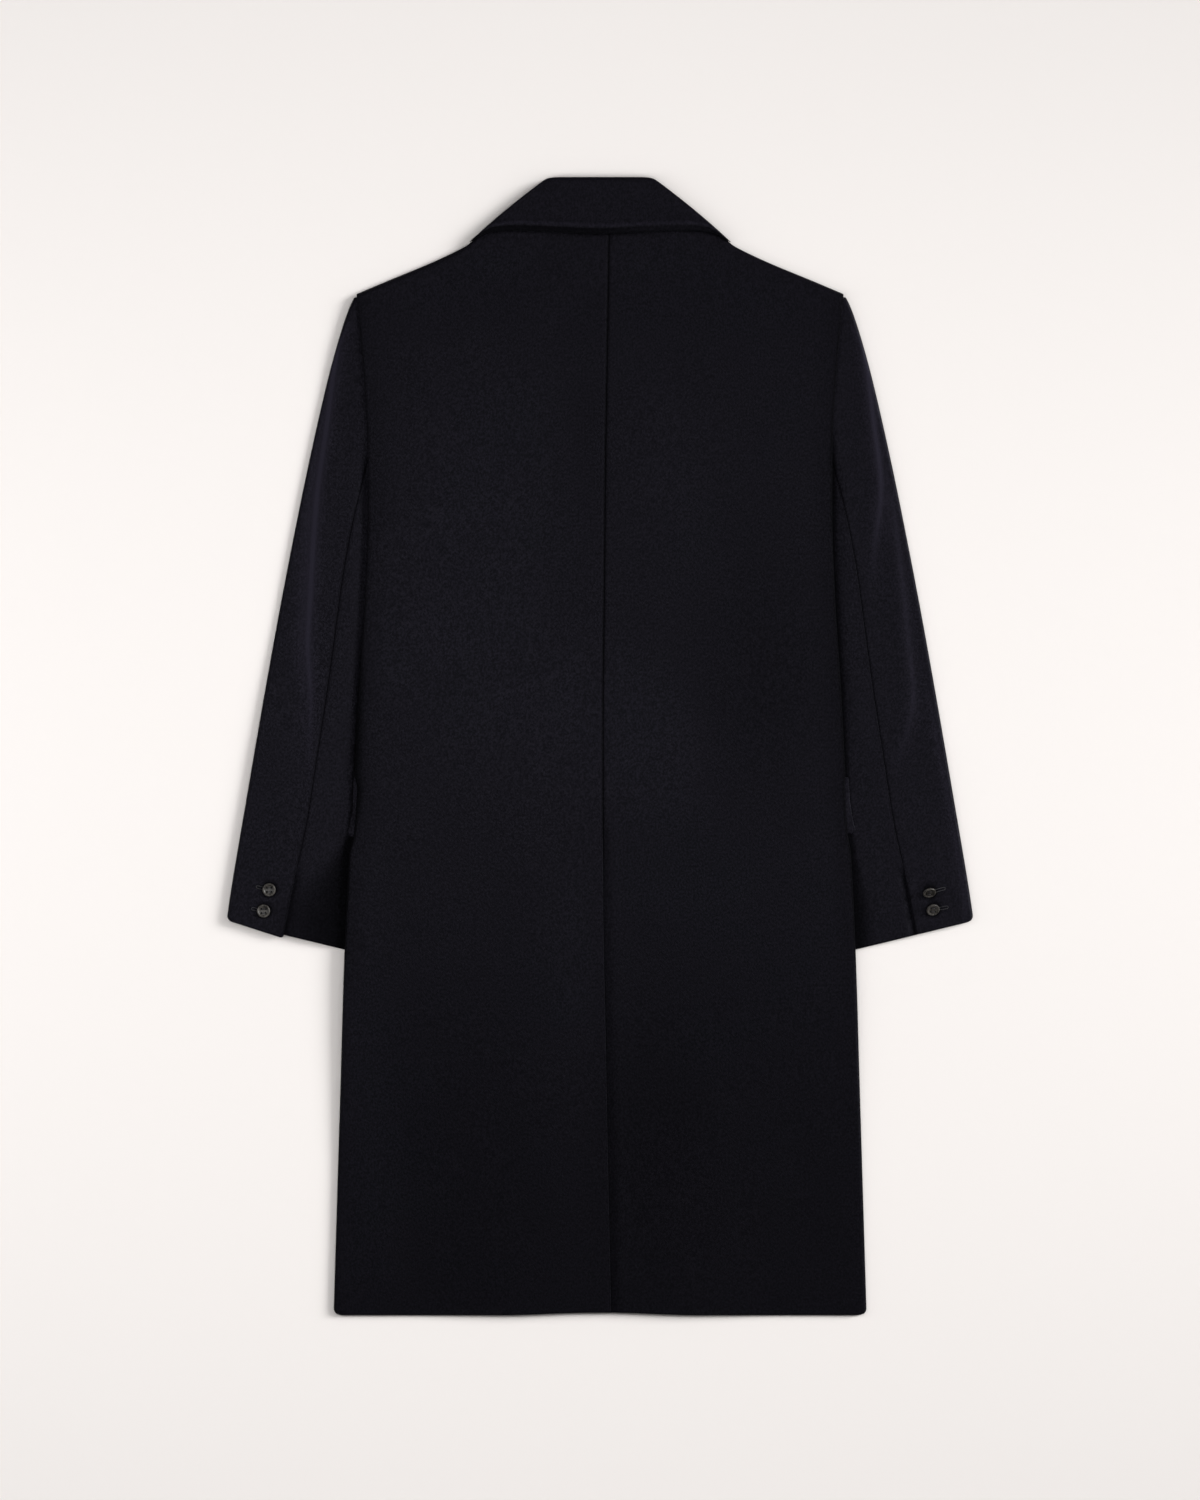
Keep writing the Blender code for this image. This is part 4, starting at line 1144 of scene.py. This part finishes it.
def dress_horn(tree, shader, trim):
    """Clouded horn, its dish darkened by painted shade against the rim."""
    where = put(tree, "ShaderNodeTexCoord").outputs["Object"]
    drawn = put(tree, "ShaderNodeMapping", {"Vector": where, "Rotation": HORN_TURN, "Scale": HORN_STREAK})
    clouds = noise(tree, drawn.outputs[0], *HORN_NOISE)
    rim = put(tree, "ShaderNodeAttribute", attribute_name="rim_unshaded").outputs["Fac"]
    paler = remap(tree, rim, 0.0, 1.0, HORN_DISH, 1.0)
    share = work_out(tree, "MULTIPLY", remap(tree, clouds, *HORN_RANGE), paler)
    colour = mix_colours(tree, share, opaque(trim.horn_colour), opaque(trim.horn_light))
    fill(tree, shader, {"Base Color": colour, "Roughness": remap(tree, clouds, 0.0, 1.0, *HORN_ROUGHNESS),
                        "Normal": bumped(tree, clouds, *HORN_BUMP), "Specular IOR Level": HORN_SPECULAR})


def dress_thread(tree, shader, trim):
    nap = add_nap(tree, THREAD_GRAIN, THREAD_STREAK)
    dark = [THREAD_DARK * part for part in trim.thread_colour]
    colour = mix_colours(tree, nap["Fibre"], opaque(dark), opaque(trim.thread_colour))
    fill(tree, shader, {"Base Color": colour, "Roughness": THREAD_ROUGHNESS,
                        "Normal": bumped(tree, nap["Height"], *THREAD_BUMP)})


def dress_floor(tree, shader, stage):
    fill(tree, shader, {"Base Color": opaque(stage.floor_colour), "Roughness": 1.0,
                        "Specular IOR Level": 0.0})


def skin(name, tubes):
    """Mesh of closed tubes, each a row of rings of points; a ring of one point is a tip."""
    bm = bmesh.new()
    for tube in tubes:
        rings = [[bm.verts.new(point) for point in ring] for ring in tube]
        sides = max(len(ring) for ring in rings)
        for lower, upper in zip(rings, rings[1:]):
            for k in range(sides):
                n = k + 1
                around = (lower, k), (lower, n), (upper, n), (upper, k)
                corners = [ring[i % len(ring)] for ring, i in around]
                bm.faces.new(list(dict.fromkeys(corners)))
        for ring in (rings[0], rings[-1]):
            if len(ring) > 1:
                bm.faces.new(ring)
    bmesh.ops.recalc_face_normals(bm, faces=bm.faces[:])
    mesh = bpy.data.meshes.new(name)
    bm.to_mesh(mesh)
    bm.free()
    return mesh


def turned_solid(name, profile, sides):
    """Closed solid turned round Z from (radius, height) rows that start and end on the axis."""
    angles = [math.tau * k / sides for k in range(sides)]
    rings = []
    for radius, z in profile:
        turns = angles if radius > 0.0 else angles[:1]
        rings.append([(radius * math.cos(a), radius * math.sin(a), z) for a in turns])
    return skin(name, [rings])


def evaluated_mesh(piece):
    """Plain mesh of a piece with its modifiers worked out, which are then removed."""
    graph = bpy.context.evaluated_depsgraph_get()
    mesh = bpy.data.meshes.new_from_object(piece.evaluated_get(graph))
    piece.modifiers.clear()
    piece.data = mesh
    return mesh


def hole_places(radius):
    reach = HOLE_PLACE * radius
    return [(sx * reach, sy * reach) for sx in (-1, 1) for sy in (-1, 1)]


def four_hole_button(name, radius, height, trim):
    profile = [(across * radius, up * height) for across, up in BUTTON_PROFILE]
    blank = add_object(name, turned_solid(name, profile, BUTTON_SIDES))
    cutters = []
    for x, y in hole_places(radius):
        bore = HOLE_RADIUS * radius
        rows = [(0.0, -height), (bore, -height), (bore, 2 * height), (0.0, 2 * height)]
        mesh = turned_solid(f"{name}_bore", rows, HOLE_SIDES)
        mesh.transform(Matrix.Translation((x, y, 0.0)))
        cutters.append(add_object(f"{name}_bore", mesh))
    for cutter in cutters:
        cut = blank.modifiers.new(cutter.name, "BOOLEAN")
        cut.object = cutter
        cut.operation = "DIFFERENCE"
    mesh = evaluated_mesh(blank)
    for cutter in cutters:
        bpy.data.objects.remove(cutter, do_unlink=True)
    mesh.shade_smooth()
    mesh.set_sharp_from_angle(angle=math.radians(SHARP_ANGLE))
    # painted shade in the dish: 1 on the rim, 0 in the dish
    rim_unshaded = [float(ease(*DISH_SHADE_EDGE, math.hypot(v.co.x, v.co.y) / radius)) for v in mesh.vertices]
    mesh.attributes.new("rim_unshaded", "FLOAT", "POINT").data.foreach_set("value", rim_unshaded)
    mesh.materials.clear()
    mesh.materials.append(shared_material("dark_horn", dress_horn, trim))
    return blank


def thread_mesh(name, radius, height):
    """Sewing thread: two strands from hole to hole on each side of a button."""
    reach = HOLE_PLACE * radius
    foot, top = THREAD_FOOT * height, HOLE_FLOOR * height + THREAD_RISE
    across = Vector((0.0, 1.0, 0.0))
    turns = [math.tau * n / THREAD_SIDES for n in range(THREAD_SIDES)]
    strands = []
    for y in (-reach - THREAD_RADIUS, -reach + THREAD_RADIUS, reach - THREAD_RADIUS, reach + THREAD_RADIUS):
        path = []
        for t in np.linspace(0.0, math.pi, THREAD_STEPS):
            path.append(Vector((-reach * math.cos(t), y, mix(foot, top, math.sin(t) ** THREAD_ARCH))))
        strand = []
        for k, point in enumerate(path):
            ahead = (path[min(k + 1, len(path) - 1)] - path[max(k - 1, 0)]).normalized()
            up = across.cross(ahead)
            ring = [across * math.cos(a) + up * math.sin(a) for a in turns]
            strand.append([point + THREAD_RADIUS * away for away in ring])
        strands.append(strand)
    mesh = skin(name, strands)
    mesh.shade_smooth()
    return mesh


def add_button(node, radius, height, place, turn, trim):
    """Button and its thread in the place of a node."""
    where = Matrix.Translation(place) @ Euler([math.radians(a) for a in turn]).to_matrix().to_4x4()
    button = four_hole_button(f"{node}_horn", radius, height, trim)
    button.data.transform(where)
    thread = add_object(f"{node}_thread", thread_mesh(f"{node}_thread", radius, height),
                        shared_material("twisted_thread", dress_thread, trim))
    thread.data.transform(where)
    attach(button, "root")
    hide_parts(node)
    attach(thread, "root")


def stitch_tree():
    """Geometry nodes that lay short stitches across a path."""
    tree = bpy.data.node_groups.new("buttonhole_stitches", "GeometryNodeTree")
    kinds = {"Geometry": "Geometry", "Pitch": "Float", "Length": "Float", "Thread": "Float", "Seed": "Int",
             "Material": "Material"}
    for name, kind in kinds.items():
        tree.interface.new_socket(name, in_out="INPUT", socket_type=f"NodeSocket{kind}")
    tree.interface.new_socket("Geometry", in_out="OUTPUT", socket_type="NodeSocketGeometry")
    given = put(tree, "NodeGroupInput").outputs
    path = put(tree, "GeometryNodeMeshToCurve", {"Mesh": given["Geometry"]}).outputs["Curve"]
    steps = put(tree, "GeometryNodeResampleCurve", mode="LENGTH")
    fill(tree, steps, {"Curve": path, "Length": given["Pitch"]})
    tangent = put(tree, "GeometryNodeInputTangent").outputs[0]
    along = put(tree, "FunctionNodeAlignRotationToVector", {"Vector": tangent}, axis="X", pivot_axis="Z")
    low, high = STITCH_REACH
    uneven = put(tree, "FunctionNodeRandomValue", data_type="FLOAT")
    fill(tree, uneven, {"Seed": given["Seed"], 2: low, 3: high})
    reach = work_out(tree, "MULTIPLY", given["Length"], uneven.outputs[1])
    size = put(tree, "ShaderNodeCombineXYZ", {"X": given["Thread"], "Y": reach, "Z": given["Thread"]})
    stitch = put(tree, "GeometryNodeMeshUVSphere",
                 {"Segments": STITCH_SIDES, "Rings": STITCH_RINGS, "Radius": 1.0})
    laid = put(tree, "GeometryNodeInstanceOnPoints",
               {"Points": steps.outputs["Curve"], "Instance": stitch.outputs["Mesh"],
                "Rotation": along.outputs[0], "Scale": size.outputs[0]})
    real = put(tree, "GeometryNodeRealizeInstances", {"Geometry": laid.outputs["Instances"]})
    dressed = put(tree, "GeometryNodeSetMaterial",
                  {"Geometry": real.outputs["Geometry"], "Material": given["Material"]})
    put(tree, "NodeGroupOutput", {"Geometry": dressed.outputs["Geometry"]})
    return tree


def add_stitches(name, paths, trim):
    """One piece of buttonhole stitches along paths of points."""
    points, edges = [], []
    for path in paths:
        first = len(points)
        points += [tuple(p) for p in path]
        edges += [(first + k, first + k + 1) for k in range(len(path) - 1)]
    mesh = bpy.data.meshes.new(name)
    mesh.from_pydata(points, edges, [])
    piece = add_object(name, mesh)
    tree = bpy.data.node_groups.get("buttonhole_stitches") or stitch_tree()
    sewn = piece.modifiers.new("stitches", "NODES")
    sewn.node_group = tree
    values = {"Pitch": trim.stitch_pitch, "Length": trim.stitch_length, "Thread": STITCH_RADIUS,
              "Seed": trim.stitch_seed,
              "Material": shared_material("twisted_thread", dress_thread, trim)}
    for item in tree.interface.items_tree:
        if item.in_out == "INPUT" and item.name in values:
            sewn[item.identifier] = values[item.name]
    evaluated_mesh(piece).shade_smooth()
    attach(piece, "root")


def middle_of(node):
    low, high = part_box(node)
    return (low + high) / 2


def hole_path(inner, outer, height_z):
    """Round a buttonhole from its inner end, past its outer end and back."""
    inner, outer = np.array(inner), np.array(outer)
    ahead = (outer - inner) / np.linalg.norm(outer - inner)
    across = np.array((-ahead[1], ahead[0]))
    end = outer - ahead * HOLE_HALF
    outline = [inner + across * HOLE_HALF]
    for turn in HOLE_END_TURNS:
        outline.append(end + HOLE_HALF * (ahead * math.cos(turn) + across * math.sin(turn)))
    outline.append(inner - across * HOLE_HALF)
    return [(x, y, float(height_z(x, y))) for x, y in outline]


class COAT_OT_sleeves(bpy.types.Operator):
    """Build the top sleeves and under sleeves"""

    bl_idname = "coat.sleeves"
    bl_label = "Sleeves"

    def execute(self, context):
        cloth = context.scene.coat_cloth
        for side, label in LABELS.items():
            add_cloth(f"top_sleeve_{label}", top_sleeve_mesh(side, cloth))
            add_cloth(f"under_sleeve_{label}", under_sleeve_mesh(side, cloth))
        return {"FINISHED"}


class COAT_OT_flaps(bpy.types.Operator):
    """Build the pocket flaps"""

    bl_idname = "coat.flaps"
    bl_label = "Pocket flaps"

    def execute(self, context):
        for side, label in LABELS.items():
            add_cloth(f"pocket_flap_{label}", flap_mesh(side, context.scene.coat_cloth))
        return {"FINISHED"}


class COAT_OT_fronts(bpy.types.Operator):
    """Build the fronts and their lapels"""

    bl_idname = "coat.fronts"
    bl_label = "Fronts and lapels"

    def execute(self, context):
        cloth = context.scene.coat_cloth
        for side, label in LABELS.items():
            add_cloth(f"lapel_{label}", lapel_mesh(side, cloth))
            add_cloth(f"front_{label}", front_mesh(side, cloth))
        return {"FINISHED"}


class COAT_OT_backs(bpy.types.Operator):
    """Build the two halves of the back with the seam and vent between them"""

    bl_idname = "coat.backs"
    bl_label = "Back"

    def execute(self, context):
        for side, label in LABELS.items():
            add_cloth(f"back_{label}", back_mesh(side, context.scene.coat_cloth))
        return {"FINISHED"}


class COAT_OT_collar(bpy.types.Operator):
    """Build the collar's fall and stand"""

    bl_idname = "coat.collar"
    bl_label = "Collar"

    def execute(self, context):
        cloth = context.scene.coat_cloth
        add_cloth("collar_stand", stand_mesh(cloth))
        add_cloth("collar_fall", collar_mesh(cloth))
        return {"FINISHED"}


class COAT_OT_buttons(bpy.types.Operator):
    """Build the cuff and front buttons with their thread"""

    bl_idname = "coat.buttons"
    bl_label = "Buttons"

    def execute(self, context):
        trim = context.scene.coat_trim
        flat_low, flat_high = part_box("cuff_button_left_1")
        radius = (flat_high.x - flat_low.x) / 2
        height = flat_high.z - flat_low.z
        for node, ((tilt, lean), _) in CUFF_BUTTONS.items():
            turn = Euler((math.radians(tilt), math.radians(lean), 0.0)).to_matrix()
            axis = turn @ Vector((0.0, 0.0, 1.0))
            middle = middle_of(node)
            rise = radius * math.sqrt(max(0.0, 1.0 - axis.z ** 2))
            middle.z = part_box(node)[0].z + rise + axis.z * height / 2
            add_button(node, radius, height, middle - axis * height / 2, (tilt, lean, 0.0), trim)
        for label in LABELS.values():
            for k in FRONT_ROWS:
                node = f"front_button_{label}_{k}"
                low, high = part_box(node)
                middle = middle_of(node)
                add_button(node, (high.x - low.x) / 2, high.z - low.z, (middle.x, middle.y, high.z),
                           (FRONT_BUTTON_TURN, 0.0, 0.0), trim)
        return {"FINISHED"}


class COAT_OT_buttonholes(bpy.types.Operator):
    """Sew the buttonholes of the cuffs and of the outer front"""

    bl_idname = "coat.buttonholes"
    bl_label = "Buttonholes"

    def execute(self, context):
        trim = context.scene.coat_trim
        for side, label in LABELS.items():
            def cuff_z(x, y):
                return sleeve_z(abs(x), y, side) + STITCH_LIFT

            paths = []
            for node, (_, outer) in CUFF_BUTTONS.items():
                if label in node:
                    paths.append(hole_path(middle_of(node).xy, outer, cuff_z))
            add_stitches(f"cuff_buttonholes_{label}", paths, trim)

        def front_z(x, y):
            return left_front_z(-x, y) - STITCH_LIFT

        paths = []
        for k in FRONT_ROWS:
            middle = middle_of(f"front_button_right_{k}")
            paths.append(hole_path(middle.xy, (middle.x - FRONT_HOLE_REACH, middle.y), front_z))
        add_stitches("front_buttonholes", paths, trim)
        return {"FINISHED"}


class COAT_OT_stage(bpy.types.Operator):
    """Lay the floor and set the light and the camera"""

    bl_idname = "coat.stage"
    bl_label = "Stage"

    def execute(self, context):
        stage = context.scene.coat_stage
        scene = context.scene
        scene.view_settings.view_transform = "Standard"
        add_floor(stage)
        add_lights(stage)
        camera_data = bpy.data.cameras.new("camera")
        camera_data.lens = camera_data.sensor_width * stage.camera_height / stage.frame_height
        camera_data.clip_end = CAMERA_CLIP * stage.camera_height
        camera = bpy.data.objects.new("camera", camera_data)
        camera.location = (*FRAME_CENTRE, stage.camera_height)
        scene.collection.objects.link(camera)
        scene.camera = camera
        return {"FINISHED"}


def add_floor(stage):
    mesh = bpy.data.meshes.new("floor")
    h = FLOOR_HALF
    mesh.from_pydata([(-h, -h, 0.0), (h, -h, 0.0), (h, h, 0.0), (-h, h, 0.0)], [], [(0, 1, 2, 3)])
    add_object("floor", mesh, shared_material("pale_floor", dress_floor, stage))


def add_light(name, kind, place, **settings):
    light = bpy.data.lights.new(name, kind)
    for key, value in settings.items():
        setattr(light, key, value)
    lamp = bpy.data.objects.new(name, light)
    lamp.location = place
    lamp.rotation_euler = Vector(place).to_track_quat("Z", "Y").to_euler()
    lamp.visible_camera = False
    bpy.context.scene.collection.objects.link(lamp)


def add_lights(stage):
    world = bpy.data.worlds.new("studio")
    world.use_nodes = True
    sky = world.node_tree.nodes["Background"]
    sky.inputs["Color"].default_value = (1.0, 1.0, 1.0, 1.0)
    sky.inputs["Strength"].default_value = stage.sky_strength
    bpy.context.scene.world = world
    add_light("key", "SUN", SUN_FROM, energy=stage.sun_strength, angle=math.radians(SUN_ANGLE))
    add_light("overhead_box", "AREA", TOP_BOX, energy=stage.top_power, size=TOP_BOX_SIZE)
    for side, label in LABELS.items():
        x, y, z = SIDE_BOX
        add_light(f"{label}_box", "AREA", (side * x, y, z), energy=stage.side_power, shape="RECTANGLE",
                  size=SIDE_BOX_SIZE[0], size_y=SIDE_BOX_SIZE[1])


class COAT_PT_sidebar(bpy.types.Panel):
    """Steps and settings of the coat"""

    bl_label = "Overcoat"
    bl_idname = "COAT_PT_sidebar"
    bl_space_type = "VIEW_3D"
    bl_region_type = "UI"
    bl_category = "Coat"

    def draw(self, context):
        layout = self.layout
        for step in STEPS:
            layout.operator(step.bl_idname)
        for group in (context.scene.coat_cloth, context.scene.coat_trim, context.scene.coat_stage):
            box = layout.box()
            for name in group.bl_rna.properties.keys():
                if name not in ("rna_type", "name"):
                    box.prop(group, name)


GROUPS = {"coat_cloth": CoatCloth, "coat_trim": CoatTrim, "coat_stage": CoatStage}
STEPS = (COAT_OT_sleeves, COAT_OT_flaps, COAT_OT_fronts, COAT_OT_backs, COAT_OT_collar,
         COAT_OT_buttons, COAT_OT_buttonholes, COAT_OT_stage)


def register():
    for name, group in GROUPS.items():
        bpy.utils.register_class(group)
        setattr(bpy.types.Scene, name, PointerProperty(type=group))
    for kind in (*STEPS, COAT_PT_sidebar):
        bpy.utils.register_class(kind)


def unregister():
    for kind in (COAT_PT_sidebar, *reversed(STEPS)):
        bpy.utils.unregister_class(kind)
    for name, group in reversed(GROUPS.items()):
        delattr(bpy.types.Scene, name)
        bpy.utils.unregister_class(group)


def main():
    register()
    bpy.ops.coat.sleeves()
    bpy.ops.coat.flaps()
    bpy.ops.coat.fronts()
    bpy.ops.coat.backs()
    bpy.ops.coat.collar()
    bpy.ops.coat.buttons()
    bpy.ops.coat.buttonholes()
    bpy.ops.coat.stage()


if __name__ == "__main__":
    main()
